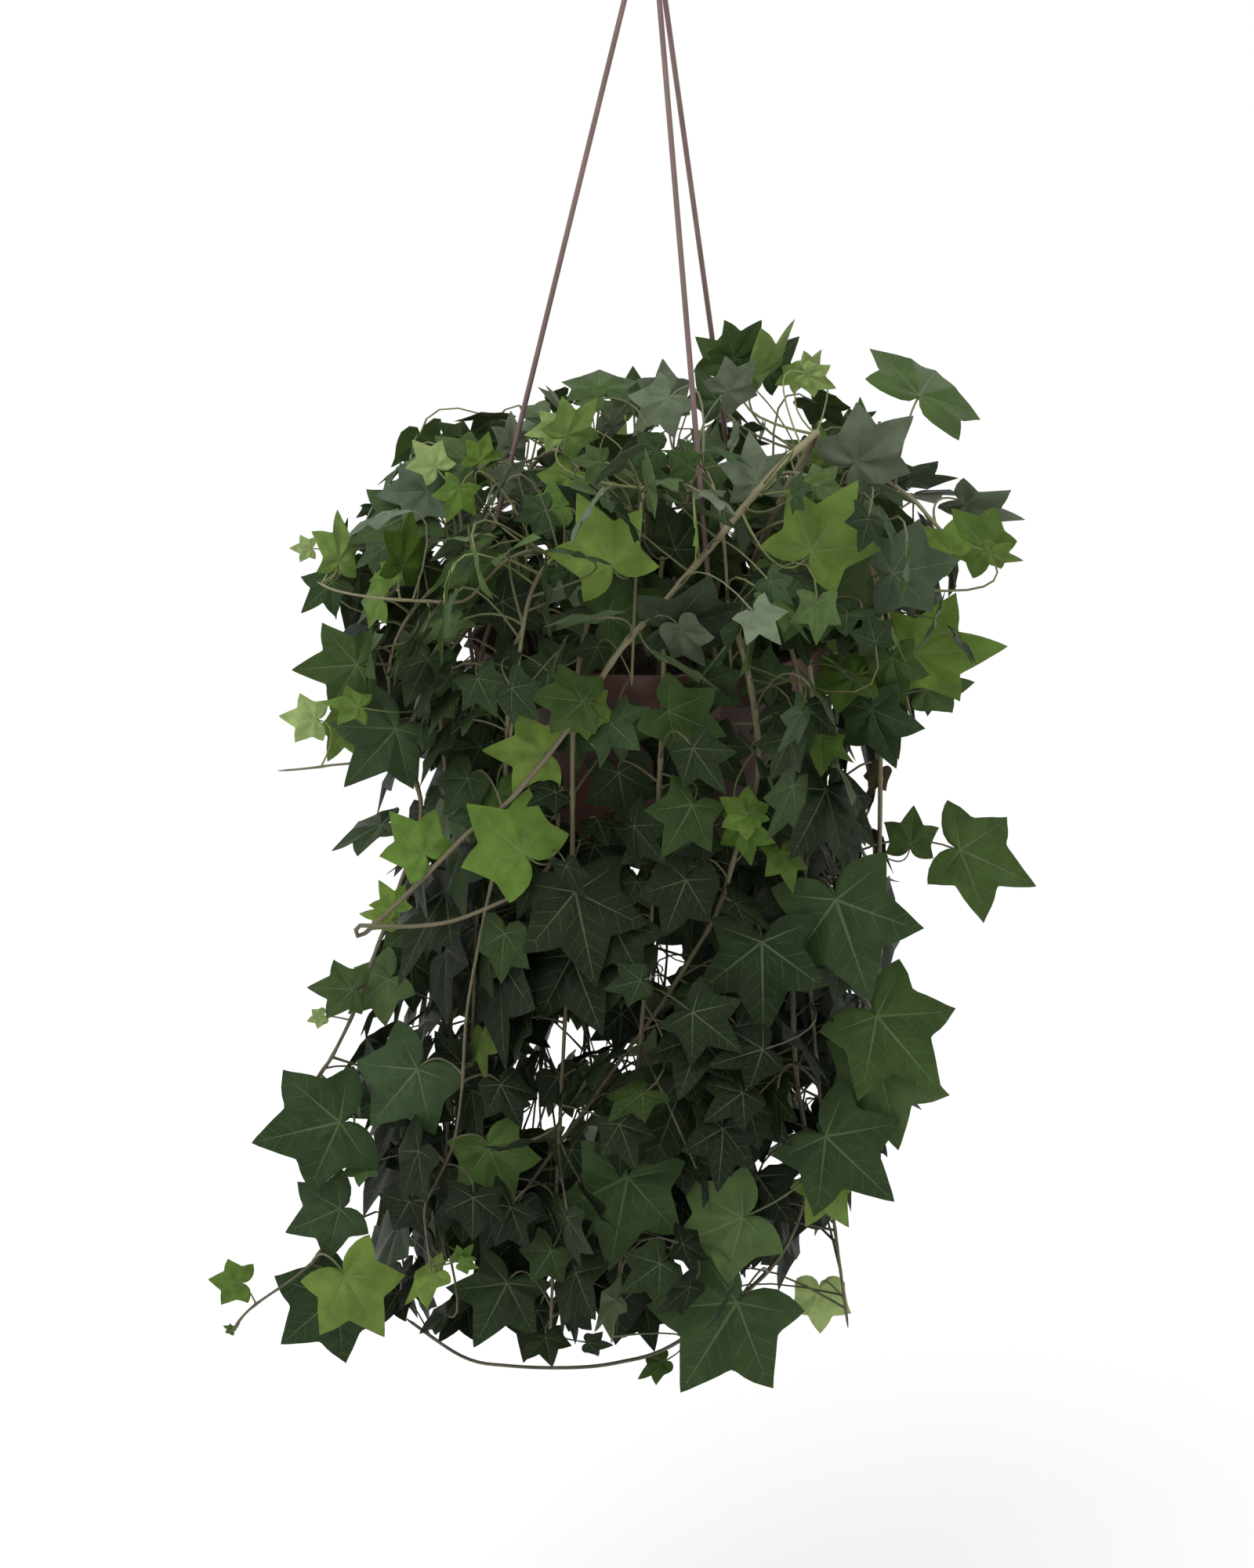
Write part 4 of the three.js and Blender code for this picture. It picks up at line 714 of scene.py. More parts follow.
# Fine leaf: half an outline as degrees off the midrib and reach, then lift off the blade's plane by angle
HALF_LEAF = {
    5: [
        (0, 1), (3, 0.93), (7, 0.84), (12, 0.755), (18, 0.675), (23, 0.62), (27, 0.59), (31, 0.605),
        (37, 0.66), (43, 0.715), (49, 0.77), (54, 0.83), (57, 0.75), (63, 0.65), (71, 0.555), (79, 0.49),
        (86, 0.465), (93, 0.48), (102, 0.52), (110, 0.565), (116, 0.61), (121, 0.56), (130, 0.47),
        (141, 0.37), (152, 0.27), (163, 0.17), (173, 0.08),
    ],
    3: [
        (0, 1), (3, 0.93), (7, 0.85), (12, 0.76), (17, 0.68), (21, 0.62), (25, 0.585), (29, 0.6),
        (35, 0.65), (41, 0.7), (46, 0.74), (51, 0.795), (54, 0.72), (60, 0.63), (69, 0.55), (79, 0.5),
        (89, 0.485), (98, 0.495), (108, 0.51), (118, 0.5), (128, 0.46), (139, 0.4), (150, 0.32),
        (162, 0.2), (173, 0.08),
    ],
}
LEAF_LIFT = {
    5: ([0, 27, 54, 86, 116, 180], [-0.1, 0.03, -0.06, 0.03, -0.02, 0.0]),
    3: ([0, 25, 51, 78, 108, 180], [-0.08, 0.03, -0.05, 0.02, 0.0, 0.0]),
}
VEIN_ANGLES = {5: [0, 53, 113], 3: [0, 50, 106]}
FINE_RINGS = [0.22, 0.48, 0.72, 0.9, 1.0]
PLAIN_RINGS = [0.3, 0.62, 0.87, 1.0]
PLAIN_ANGLES = {
    5: {0, 7, 18, 27, 37, 49, 54, 63, 79, 93, 110, 116, 130, 152, 173},
    3: {0, 7, 17, 25, 35, 46, 51, 60, 79, 98, 118, 139, 162, 173},
}
HALF_BLADE = 0.26


def leaf_template(lobes, plain):
    """The grid of a blade: an angle for each spoke, going round from one side of the stalk to the other."""
    half = [row for row in HALF_LEAF[lobes] if not plain or row[0] in PLAIN_ANGLES[lobes]]
    ring_shares = PLAIN_RINGS if plain else FINE_RINGS
    spokes = [(-angle, reach) for angle, reach in reversed(half[1:])] + half
    angles = np.radians([angle for angle, _ in spokes])
    reaches = np.array([reach for _, reach in spokes])
    stops, lifts = LEAF_LIFT[lobes]
    off_rib = np.abs(np.degrees(angles))
    lift = np.interp(off_rib, stops, lifts)
    veins = VEIN_ANGLES[lobes] + [180]
    between_veins = np.zeros(len(angles))
    for low, high in zip(veins, veins[1:]):
        here = (off_rib >= low) & (off_rib <= high)
        between_veins[here] = np.sin(math.pi * (off_rib[here] - low) / (high - low))
    count = len(angles)
    rings = len(ring_shares)
    faces = []
    for i in range(count - 1):
        j = i + 1
        faces.append((0, 1 + i, 1 + j))
        for k in range(rings - 1):
            a, b = 1 + k * count, 1 + (k + 1) * count
            faces.append((a + i, b + i, b + j))
            faces.append((a + i, b + j, a + j))
    edge = [0] + [1 + k * count for k in range(rings)]
    edge += [1 + (rings - 1) * count + i for i in range(1, count)]
    edge += [1 + k * count + count - 1 for k in reversed(range(rings - 1))]
    return {"angles": angles, "reaches": reaches, "lift": lift, "swell": between_veins,
            "faces": np.array(faces), "edge": edge, "rings": ring_shares}


# A shallow lobed leaf of the part shows as one of five lobes
TEMPLATES = {(lobes, plain): leaf_template(form, plain)
             for lobes, form in ((5, 5), (3, 3), (SHALLOW, 5)) for plain in (True, False)}


NO_MARK = (0, 0, 0)
NO_TINT = (1, 1, 1, 1)


def placed(name, data):
    """A new object of the scene with this data."""
    thing = bpy.data.objects.new(name, data)
    bpy.context.scene.collection.objects.link(thing)
    return thing


class Shape:
    """Vertices, faces, materials and marks gathered for one piece, in millimetres."""

    def __init__(self):
        self.points = []
        self.faces = []
        self.face_kind = []
        self.place = []
        self.tint = []
        self.count = 0

    def add(self, points, faces, kind=0, place=NO_MARK, tint=NO_TINT):
        points = np.asarray(points, float)
        total = len(points)
        self.points.append(points)
        for face in faces:
            self.faces.append(np.asarray(face, int) + self.count)
        self.face_kind.extend([kind] * len(faces))
        self.place.append(np.broadcast_to(np.asarray(place, float), (total, 3)))
        self.tint.append(np.broadcast_to(np.asarray(tint, float), (total, 4)))
        self.count += total

    def tube(self, path, radii, sides, **marks):
        self.add(tube_points(path, radii, sides), ring_faces(len(path), sides), **marks)

    def build(self, name, materials, sharp=50):
        mesh = bpy.data.meshes.new(name)
        points = np.concatenate(self.points) * MM
        lengths = np.array([len(face) for face in self.faces])
        mesh.vertices.add(len(points))
        mesh.vertices.foreach_set("co", points.ravel())
        mesh.loops.add(int(lengths.sum()))
        mesh.loops.foreach_set("vertex_index", np.concatenate(self.faces))
        mesh.polygons.add(len(lengths))
        mesh.polygons.foreach_set("loop_start", np.concatenate([[0], np.cumsum(lengths)[:-1]]))
        mesh.polygons.foreach_set("material_index", np.array(self.face_kind))
        mesh.update(calc_edges=True)
        mesh.validate()
        place = mesh.attributes.new("place", "FLOAT_VECTOR", "POINT")
        place.data.foreach_set("vector", np.concatenate(self.place).ravel())
        tint = mesh.attributes.new("tint", "FLOAT_COLOR", "POINT")
        tint.data.foreach_set("color", np.concatenate(self.tint).ravel())
        mesh.polygons.foreach_set("use_smooth", np.ones(len(lengths), bool))
        mesh.set_sharp_from_angle(angle=math.radians(sharp))
        for material in materials:
            mesh.materials.append(material)
        return placed(name, mesh)


def ring_faces(rings, sides):
    """Quads round a tube of rings, with its ends closed."""
    faces = []
    for k in range(rings - 1):
        for i in range(sides):
            j = (i + 1) % sides
            a, b = k * sides, (k + 1) * sides
            faces.append((a + i, a + j, b + j, b + i))
    faces.append(tuple(reversed(range(sides))))
    faces.append(tuple((rings - 1) * sides + i for i in range(sides)))
    return faces


def tube_points(path, radii, sides):
    """Rings square to a path, carried along it without twist."""
    path = np.asarray(path, float)
    ahead = np.gradient(path, axis=0)
    ahead /= np.linalg.norm(ahead, axis=1)[:, None]
    start = VIEW_RIGHT if abs(ahead[0][0]) < 0.9 else UP
    first = unit(cross(ahead[0], start))
    points = []
    turns = 2 * math.pi * np.arange(sides) / sides
    for k, centre in enumerate(path):
        if k:
            first = unit(first - ahead[k] * float(first @ ahead[k]))
        second = cross(ahead[k], first)
        ring = np.cos(turns)[:, None] * first + np.sin(turns)[:, None] * second
        points.append(centre + ring * radii[k])
    return np.concatenate(points)


def linear(red, green, blue, alpha=1.0):
    """A display colour, 0 to 255, as linear light."""
    def one(value):
        value /= 255
        return value / 12.92 if value <= 0.04045 else ((value + 0.055) / 1.055) ** 2.4
    return np.array([one(red), one(green), one(blue), alpha])


# Leaf colours as display colours of the upper side. Dark and mid are the leaf's own green; deep carries
# painted shade, bright and pale painted light shining through the blade, and grey and slate a painted sheen
# of the sky
TONES = {
    "deep": [(29, 42, 20), (25, 37, 17), (33, 46, 23)],
    "dark": [(44, 61, 31), (38, 55, 27), (48, 65, 38), (36, 51, 25)],
    "mid": [(60, 80, 36), (55, 74, 36), (66, 84, 46), (51, 70, 31)],
    "bright": [(88, 112, 44), (79, 104, 40), (98, 120, 52), (73, 99, 36)],
    "pale": [(122, 142, 80), (132, 150, 92), (110, 134, 68)],
    "grey": [(88, 99, 78), (77, 90, 70), (94, 105, 84)],
    "slate": [(62, 74, 55), (58, 70, 52)],
    "dry": [(96, 84, 60)],
}
STEM_TONE = (126, 120, 90)
STALK_TONE = (120, 118, 80)
# How much of their brightness leaves and stems keep, by height over the rim: painted shade, darker low down
# under the foliage and a little lighter at the top, where the light falls from above
PAINTED_SHADE_BY_HEIGHT = ([-200, -60, 60], [0.48, 0.7, 1.14])
STEM_PAINTED_SHADE_BY_HEIGHT = ([-260, -100, 20, 80], [0.25, 0.5, 0.85, 1.1])
# Shares of the crowd's tones, by height over the rim: darker tones lower down as painted shade, and the
# grey of a painted sheen and the pale of painted light through the blade only at the top
CROWD_TONES = [
    (40, [("deep", 0.05), ("dark", 0.45), ("mid", 0.8), ("grey", 0.93), ("bright", 0.98), ("pale", 1.0)]),
    (-60, [("deep", 0.4), ("dark", 0.8), ("mid", 0.96), ("bright", 1.0)]),
    (-1000, [("deep", 0.68), ("dark", 0.93), ("mid", 0.99), ("bright", 1.0)]),
]


def leaf_tint(leaf, draw):
    tone = leaf["tone"]
    if tone == "crowd":
        pick = draw()
        # Lower crowd leaves pick darker tones: painted shade by height
        height = leaf["joint"][2] - RIM_Z
        shares = next(shares for floor, shares in CROWD_TONES if height > floor)
        tone = next(name for name, limit in shares if pick <= limit)
    shades = TONES[tone]
    shade = shades[int(draw() * len(shades)) % len(shades)]
    tint = linear(*shade)
    tint[:3] *= between(draw, 0.84, 1.16)
    # Crowd leaves darker low down and lighter at the top: painted shade and light by height
    if leaf["tone"] == "crowd":
        tint[:3] *= np.interp(leaf["joint"][2] - RIM_Z, *PAINTED_SHADE_BY_HEIGHT)
    tint[3] = draw()
    return tint


def add_blade(shape, leaf, draw, tint):
    template = TEMPLATES[leaf["lobes"], leaf["plain"]]
    angles = template["angles"]
    phase = [between(draw, 0, 2 * math.pi) for _ in range(4)]
    wave = between(draw, 0.006, 0.02)
    curl = between(draw, -0.02, 0.05)
    stretch = 1 + 0.035 * np.sin(2 * angles + phase[0]) * np.sin(angles) ** 2
    stretch += 0.012 * np.sin(11 * angles + phase[1]) * np.sin(angles) ** 2
    reaches = template["reaches"] ** between(draw, 0.85, 1.2) * stretch
    x, y, z = [np.zeros(1)], [np.zeros(1)], [np.zeros(1)]
    for ring in template["rings"]:
        out = reaches * ring
        x.append(out * np.cos(angles))
        y.append(out * np.sin(angles))
        height = template["lift"] * ring ** 1.7
        height = height + 0.028 * template["swell"] * math.sin(math.pi * min(ring, 0.93)) ** 0.8
        height = height + wave * np.sin(5 * angles + phase[2]) * ring ** 2
        height = height + 0.5 * wave * np.sin(9 * angles + phase[3]) * ring ** 3
        height = height - curl * (y[-1] ** 2) * 1.6
        z.append(height)
    x, y, z = np.concatenate(x), np.concatenate(y), np.concatenate(z)
    flat = (leaf["joint"] + leaf["reach"] * (np.outer(x, leaf["rib"]) + np.outer(y, leaf["side"])
                                             + np.outer(z, leaf["face"])))
    half = np.full(len(x), HALF_BLADE)
    half[-len(angles):] *= 0.5
    lift = np.outer(half, leaf["face"])
    total = len(x)
    top = template["faces"]
    below = top[:, ::-1] + total
    edge = template["edge"]
    rim = [(edge[i], edge[i - 1], edge[i - 1] + total, edge[i] + total) for i in range(len(edge))]
    place = np.stack([x, y, np.ones(total)], 1)
    place = np.concatenate([place, np.stack([x, y, -np.ones(total)], 1)])
    shape.add(np.concatenate([flat + lift, flat - lift]), [*top, *below, *rim], 0, place, tint)


# Sides and stops of a stalk, the stops that tests look at, how far under the blade it joins, and how far it
# follows the rib as a share of its length. Then a stem's sides, the pitch of its rings and its swellings
FINE_STALK = (6, 9)
PLAIN_STALK = (4, 7)
STALK_STOPS = 7
STALK_SUNK = 0.25
BENT = 0.6
SLIGHTLY_BENT = 0.34
STEM_SIDES = 8
STEM_PITCH = 5
TIP_TAPER = 0.5
NODE_SWELL = 0.3
NODE_REACH = 2.6


def stalk_path(leaf, foot, steps=FINE_STALK[1]):
    joint = leaf["joint"] - leaf["face"] * STALK_SUNK
    bend = BENT if leaf["bent"] else SLIGHTLY_BENT
    control = joint - leaf["rib"] * (bend * size(foot - joint))
    if not leaf["bent"]:
        control = mix(control, mix(joint, foot, 0.5), 0.5)
    stops = np.linspace(0, 1, steps)[:, None]
    return (1 - stops) ** 2 * joint + 2 * stops * (1 - stops) * control + stops ** 2 * foot


def add_stalk(shape, leaf, foot, tint):
    sides, steps = PLAIN_STALK if leaf["plain"] else FINE_STALK
    shares = np.linspace(0, 1, steps)
    thick = STALK_RADIUS * (0.6 if leaf["reach"] < YOUNG_REACH else 0.82)
    radii = thick * np.interp(shares, [0, 0.1, 0.85, 1], [1, 0.78, 0.95, 1.25])
    place = np.repeat(shares, sides)
    place = np.stack([place, place * 0, place * 0], 1)
    shape.tube(stalk_path(leaf, foot, steps), radii, sides, kind=1, place=place, tint=tint)


def add_stem(shape, stem):
    curve = stem["curve"]
    count = max(8, round(curve.length / STEM_PITCH)) + 1
    shares = np.linspace(0, 1, count)
    path = np.array([curve.at(share) for share in shares])
    radii = stem["radius"] * np.interp(shares, [0, 0.3, 1], [1, 0.9, TIP_TAPER])
    marks = np.array([leaf["foot"]["place"] for leaf in stem["leaves"]])
    if len(marks):
        away = np.abs(shares[:, None] - marks[None, :]).min(1) * curve.length
        radii *= 1 + NODE_SWELL * np.exp(-(away / NODE_REACH) ** 2)
    radii[-1] *= 0.4
    place = np.repeat(shares, STEM_SIDES)
    place = np.stack([place, place * 0, place * 0 + 1], 1)
    # Stems darker low down and lighter at the top: painted shade by height
    heights = np.repeat(path[:, 2] - RIM_Z, STEM_SIDES)
    tint = linear(*STEM_TONE) * np.interp(heights, *STEM_PAINTED_SHADE_BY_HEIGHT)[:, None]
    shape.tube(path, radii, STEM_SIDES, kind=1, place=place, tint=tint)


# More leaves by rule between those of the part, clear of everything that is there
class Crowd:
    """The blades, stalks and stems in place, each with a ball round it and a tree of its faces."""

    def __init__(self, room=6000):
        self.centres = np.zeros((room, 3))
        self.radii = np.zeros(room)
        self.bodies = []

    def add(self, body):
        self.centres[len(self.bodies)] = body["centre"]
        self.radii[len(self.bodies)] = body["radius"]
        self.bodies.append(body)

    def clear_of(self, body):
        count = len(self.bodies)
        gaps = self.centres[:count] - body["centre"]
        near = (gaps ** 2).sum(1) < (self.radii[:count] + body["radius"]) ** 2
        for i in np.flatnonzero(near):
            other = self.bodies[i]
            if body["kind"] != "blade" and other["kind"] != "blade" and body["owner"] == other["owner"]:
                continue
            if body["tree"].overlap(other["tree"]):
                return False
        return True


# Sides and stops of the simple body that stands for a stalk
STALK_BODY = (3, 5)
crowd = Crowd()


def body_of(points, faces, owner, kind):
    points = np.asarray(points)
    centre = (points.min(0) + points.max(0)) / 2
    radius = float(np.sqrt(((points - centre) ** 2).sum(1)).max())
    tree = BVHTree.FromPolygons(points.tolist(), faces)
    return {"centre": centre, "radius": radius, "tree": tree, "owner": owner, "kind": kind}


def blade_corners(leaf):
    return np.array([leaf["joint"], *outline_points(leaf, 0)])


def blade_body(leaf, offset):
    fan = [leaf["joint"], *outline_points(leaf, 0)]
    count = len(fan)
    faces = [(0, i, i + 1) for i in range(1, count - 1)]
    if offset == 0:
        return body_of(fan, faces, leaf["stem"], "blade")
    shift = leaf["face"] * offset
    both = [p + shift for p in fan] + [p - shift for p in fan]
    faces += [(a + count, b + count, c + count) for a, b, c in faces]
    faces += [(i, (i + 1) % count, (i + 1) % count + count, i + count) for i in range(count)]
    return body_of(both, faces, leaf["stem"], "blade")


def stalk_body(leaf, radius):
    sides, stops = STALK_BODY
    tube = tube_points(stalk_path(leaf, leaf["root"], stops), np.full(stops, radius), sides)
    return body_of(tube, ring_faces(stops, sides), leaf["stem"], "stalk")


def keep(leaf, stem):
    crowd.add(blade_body(leaf, 0))
    crowd.add(stalk_body(leaf, STALK_RADIUS))
    stem["leaves"].append(leaf)


for stem in stems:
    for leaf in stem["leaves"]:
        root = stem["curve"].at(leaf["foot"]["place"])
        leaf.update(stem=stem["name"], root=root, plain=leaf["name"] == "crowd")

# What the front view shows of the leading leaves and stems stays in sight: share of each stem's length
STEMS_IN_SIGHT = {
    "stem_long_diagonal": (0.1, 1), "stem_second_diagonal": (0.3, 1), "stem_bottom_loop": (0.5, 1),
    "stem_young_shoot": (0.45, 1), "stem_left_arm": (0.35, 1), "stem_right_arm": (0.5, 1),
    "stem_right_plumb": (0.45, 0.8), "stem_left_trailer": (0.8, 1), "stem_left_twig": (0.5, 1),
}
SIGHT_PITCH = 7
SIGHT_SLACK = 3
sights = []
for stem in stems:
    for leaf in stem["leaves"]:
        if leaf["name"] != "crowd":
            corners = outline_points(leaf, 0)
            sights += [leaf["joint"], *(mix(leaf["joint"], corner, 0.5) for corner in corners)]
            sights += [mix(leaf["joint"], corner, 0.85) for corner in corners]
            if leaf["foot"]["share"] > 0.1 and leaf["tone"] in ("bright", "pale"):
                sights += list(stalk_path(leaf, leaf["root"], STALK_STOPS))
    if stem["name"] in STEMS_IN_SIGHT:
        low, high = STEMS_IN_SIGHT[stem["name"]]
        steps = round(stem["curve"].length / SIGHT_PITCH)
        sights += [stem["curve"].at(low + (high - low) * i / steps) for i in range(steps + 1)]
# How far up the strands are looked at and how far down each shows among the leaves, as height over the rim
STRAND_SEEN_TO = 200
STRANDS_IN_SIGHT = {"left": 60, "front_right": 60, "back_right": 110}
for side, lowest in STRANDS_IN_SIGHT.items():
    head, foot = strand_ends(side)
    for height in np.arange(lowest, STRAND_SEEN_TO, SIGHT_PITCH):
        sights.append(mix(foot, head, (RIM_Z + height - foot[2]) / (head[2] - foot[2])))
# Every leaf hides what lies as far back as this, so the windows stay clear of all of them
WINDOW_BACK = -400
for across, up, radius in WINDOWS:
    sights.append(seen(across, up, WINDOW_BACK))
    half = 0.7 * radius
    for turn in np.arange(4) * math.pi / 2:
        sights.append(seen(across + half * math.cos(turn), up + half * math.sin(turn), WINDOW_BACK))
sights = np.array(sights)
sight_across, sight_up = shown(sights)
sight_depth = (sights - RIM_CENTRE) @ VIEW_NEAR


def hides_sight(leaf):
    """Whether a blade would stand in front of what the front view shows."""
    corners = blade_corners(leaf)
    across, up = shown(corners)
    depth = float(((corners - RIM_CENTRE) @ VIEW_NEAR).mean())
    behind = sight_depth < depth + SIGHT_SLACK
    behind &= (sight_across > across.min()) & (sight_across < across.max())
    behind &= (sight_up > up.min()) & (sight_up < up.max())
    if not behind.any():
        return False
    return bool(within(np.stack([across, up], 1), sight_across[behind], sight_up[behind]).any())


# How far off each other blades and stalks stay, and how far a stalk may lean forward along its rib
BLADE_CLEAR = 1.3
STALK_CLEAR = 1.5
MOST_FORWARD = 0.35


def reaches_back(leaf):
    stalk = leaf["root"] - leaf["joint"]
    return float(stalk @ leaf["rib"]) < MOST_FORWARD * size(stalk)


def blade_may_stand(leaf):
    """Whether a blade stays where leaves may be, off the pot, and out of the way of what shows in front."""
    corners = blade_corners(leaf)
    if not fits(corners) or not misses_pot(np.concatenate([corners, (corners + leaf["joint"]) / 2])):
        return False
    return not hides_sight(leaf)


def stalk_may_stand(leaf):
    return reaches_back(leaf) and misses_pot(stalk_path(leaf, leaf["root"], STALK_STOPS)[:-1])


def has_room(leaf):
    """Whether a new leaf may stand where it is, clear of all that is there."""
    if not stalk_may_stand(leaf) or not blade_may_stand(leaf):
        return False
    return crowd.clear_of(blade_body(leaf, BLADE_CLEAR)) and crowd.clear_of(stalk_body(leaf, STALK_CLEAR))


# The part's own leaves come first. One of the crowd that would stand before what the front view shows is
# set back behind it, set aside or made a younger leaf, and where that doesn't help its place is left free
SET_BACK = [0, 10, 20, 32, 45, 60]
SET_ASIDE = [0, 12, -12, 24, -24]
YOUNGER = [1, 0.8, 0.6]
BODY_PITCH = 14
BODY_RUN = 4
in_the_way = []
for stem in stems:
    part_leaves, stem["leaves"] = stem["leaves"], []
    for leaf in part_leaves:
        if leaf["name"] == "crowd" and hides_sight(leaf):
            in_the_way.append((leaf, stem))
        else:
            keep(leaf, stem)
    stops = stem["curve"].spaced(max(8, round(stem["curve"].length / BODY_PITCH)))
    for start in range(0, len(stops) - 1, BODY_RUN):
        run = stops[start:start + BODY_RUN + 1]
        tube = tube_points(run, np.full(len(run), stem["radius"]), 4)
        crowd.add(body_of(tube, ring_faces(len(run), 4), stem["name"], "stem"))


def set_back(leaf):
    joint, full = leaf["joint"], leaf["reach"]
    for share in YOUNGER:
        for away in SET_BACK:
            for aside in SET_ASIDE:
                moved = joint - VIEW_NEAR * away + VIEW_RIGHT * aside
                leaf.update(joint=moved, reach=full * share, bent=True)
                if has_room(leaf):
                    return True
    return False


for leaf, stem in in_the_way:
    if set_back(leaf):
        keep(leaf, stem)

# First round: leaves at an even spacing along each stem
FILL_PITCH = 8
FILL_SPACING = 9
FILL_TRIES = 10


def fill_pose(foot, attempt):
    draw = random_stream(9173 * foot["index"] + 53 * attempt + 404)
    point = foot["point"]
    out, aside = outward(point)
    high = point[2] > RIM_Z + HIGH
    hand = 1 if (foot["index"] + attempt) % 2 == 0 else -1
    stalk = out * between(draw, -0.1, 1.1) + aside * (hand * between(draw, 0.1, 1.2))
    stalk = stalk + UP * between(draw, -0.3, 1.3 if high else 0.8)
    joint = point + unit(stalk) * between(draw, 10, 46)
    rib = out * between(draw, 0, 0.9) + aside * between(draw, -0.9, 0.9)
    rib = rib + UP * (between(draw, -0.8, 0.5) if high else between(draw, -1.1, -0.1))
    facing = out * (0.6 if high else 1) + UP * between(draw, 0.1, 1.1) + aside * between(draw, -0.7, 0.7)
    roll = math.radians(between(draw, -30, 30))
    reach = between(draw, 30, 54) * (1 - 0.25 * foot["share"]) * (1 - 0.03 * attempt)
    leaf = leaf_frame(joint, unit(rib), unit(facing), roll, reach)
    leaf.update(name="fill", lobes=5 if draw() < 0.6 else 3, tone="crowd", bent=draw() < 0.5, foot=foot,
                stem=foot["stem"]["name"], root=point, plain=True)
    return leaf


# The bottom loop bears only its leading leaves past this share of its length
LOOP_BARE = 0.52
fill_feet = []
for number, stem in enumerate(stems):
    length = stem["curve"].length
    count = int(length / FILL_PITCH)
    for k in reversed(range(count)):
        share = (k + 0.5) / count
        point = stem["curve"].at(share)
        if stem["name"] == "stem_bottom_loop" and share > LOOP_BARE:
            continue
        if math.hypot(point[0], point[1]) > RIM_RADIUS + 2 or point[2] > RIM_Z + 2:
            fill_feet.append({"point": point, "share": share, "place": share, "stem": stem,
                              "index": 100 * number + k})

for foot in fill_feet:
    stem = foot["stem"]
    length = stem["curve"].length
    if any(abs(leaf["foot"]["place"] - foot["share"]) * length < FILL_SPACING for leaf in stem["leaves"]):
        continue
    for attempt in range(FILL_TRIES):
        leaf = fill_pose(foot, attempt)
        if has_room(leaf):
            keep(leaf, stem)
            break

# Second round: from each side in turn, leaves where the foliage would still show through
CELL = 8
SIDES_SEEN = [0, 180, 90, 270, 45, 315]
COVER_TRIES = 7
FEET_TRIED = 5
COVER_LOW, COVER_HIGH = -395, 120
COVER_ACROSS = 216
COVER_BACK = -12
NEAREST = 30
FAR = 1e9
COVER_REACH = (8, 82)
foot_points = np.array([foot["point"] for foot in fill_feet])
foot_taken = np.zeros(len(fill_feet), bool)


class Cover:
    """Cells of a side view, and which of them the near half of the foliage covers."""

    def __init__(self, degrees):
        turn = math.radians(degrees)
        self.near = vec(math.sin(turn), -math.cos(turn), 0)
        self.across = vec(math.cos(turn), math.sin(turn), 0)
        columns = np.arange(-COVER_ACROSS, COVER_ACROSS + 1, CELL)
        rows = np.arange(COVER_LOW, COVER_HIGH + 1, CELL)
        self.cells = np.array([(column, row) for row in rows for column in columns], float)
        self.covered = np.zeros(len(self.cells), bool)

    def add(self, leaf):
        corners = blade_corners(leaf)
        if float(corners.mean(0) @ self.near) < COVER_BACK:
            return
        flat = np.stack([corners @ self.across, corners[:, 2] - RIM_Z], 1)
        low, high = flat.min(0), flat.max(0)
        near = np.flatnonzero(np.all((self.cells >= low) & (self.cells <= high), axis=1) & ~self.covered)
        if not len(near):
            return
        spots = self.cells[near]
        self.covered[near] |= within(flat, spots[:, 0], spots[:, 1])


def cover_pose(cover, cell, attempt, seed):
    draw = random_stream(seed + 71 * attempt)
    across, height = cell
    reach_here = np.interp(height, REACH_HEIGHTS, REACHES)
    room = math.sqrt(max(reach_here ** 2 - across ** 2, 30 ** 2))
    least = 0.66 if -POT_HEIGHT - 10 < height < 10 else 0.12
    depth = room * between(draw, least, 0.96 - 0.06 * attempt)
    high = height > HIGH
    spot = cover.across * across + cover.near * depth + UP * (RIM_Z + height)
    out, aside = outward(spot)
    rib = out * between(draw, -0.1, 0.8) + aside * between(draw, -0.9, 0.9)
    rib = unit(rib + UP * (between(draw, -0.9, 0.6) if high else between(draw, -1.1, -0.1)))
    facing = cover.near + out * 0.5 + UP * between(draw, -0.1, 1.1) + aside * between(draw, -0.8, 0.8)
    roll = math.radians(between(draw, -35, 35))
    reach = (between(draw, 24, 52) if high else between(draw, 32, 62)) * (1 - 0.06 * attempt)
    joint = spot - rib * (0.35 * reach)
    leaf = leaf_frame(joint, rib, unit(facing), roll, reach)
    leaf.update(name="cover", lobes=5 if draw() < 0.75 else 3, tone="crowd", bent=True, plain=True)
    return leaf


def place_cover(cover, cell, seed):
    for attempt in range(COVER_TRIES):
        leaf = cover_pose(cover, cell, attempt, seed)
        if not blade_may_stand(leaf):
            continue
        away = np.sqrt(((foot_points - leaf["joint"]) ** 2).sum(1))
        away[foot_taken] = FAR
        nearest = [i for i in np.argsort(away)[:NEAREST] if COVER_REACH[0] < away[i] < COVER_REACH[1]]
        blade_clear = None
        for i in nearest[:FEET_TRIED]:
            foot = fill_feet[i]
            leaf.update(foot=foot, stem=foot["stem"]["name"], root=foot["point"])
            if not stalk_may_stand(leaf):
                continue
            if blade_clear is None:
                blade_clear = crowd.clear_of(blade_body(leaf, BLADE_CLEAR))
            if not blade_clear:
                break
            if crowd.clear_of(stalk_body(leaf, STALK_CLEAR)):
                keep(leaf, foot["stem"])
                foot_taken[i] = True
                return leaf
    return None


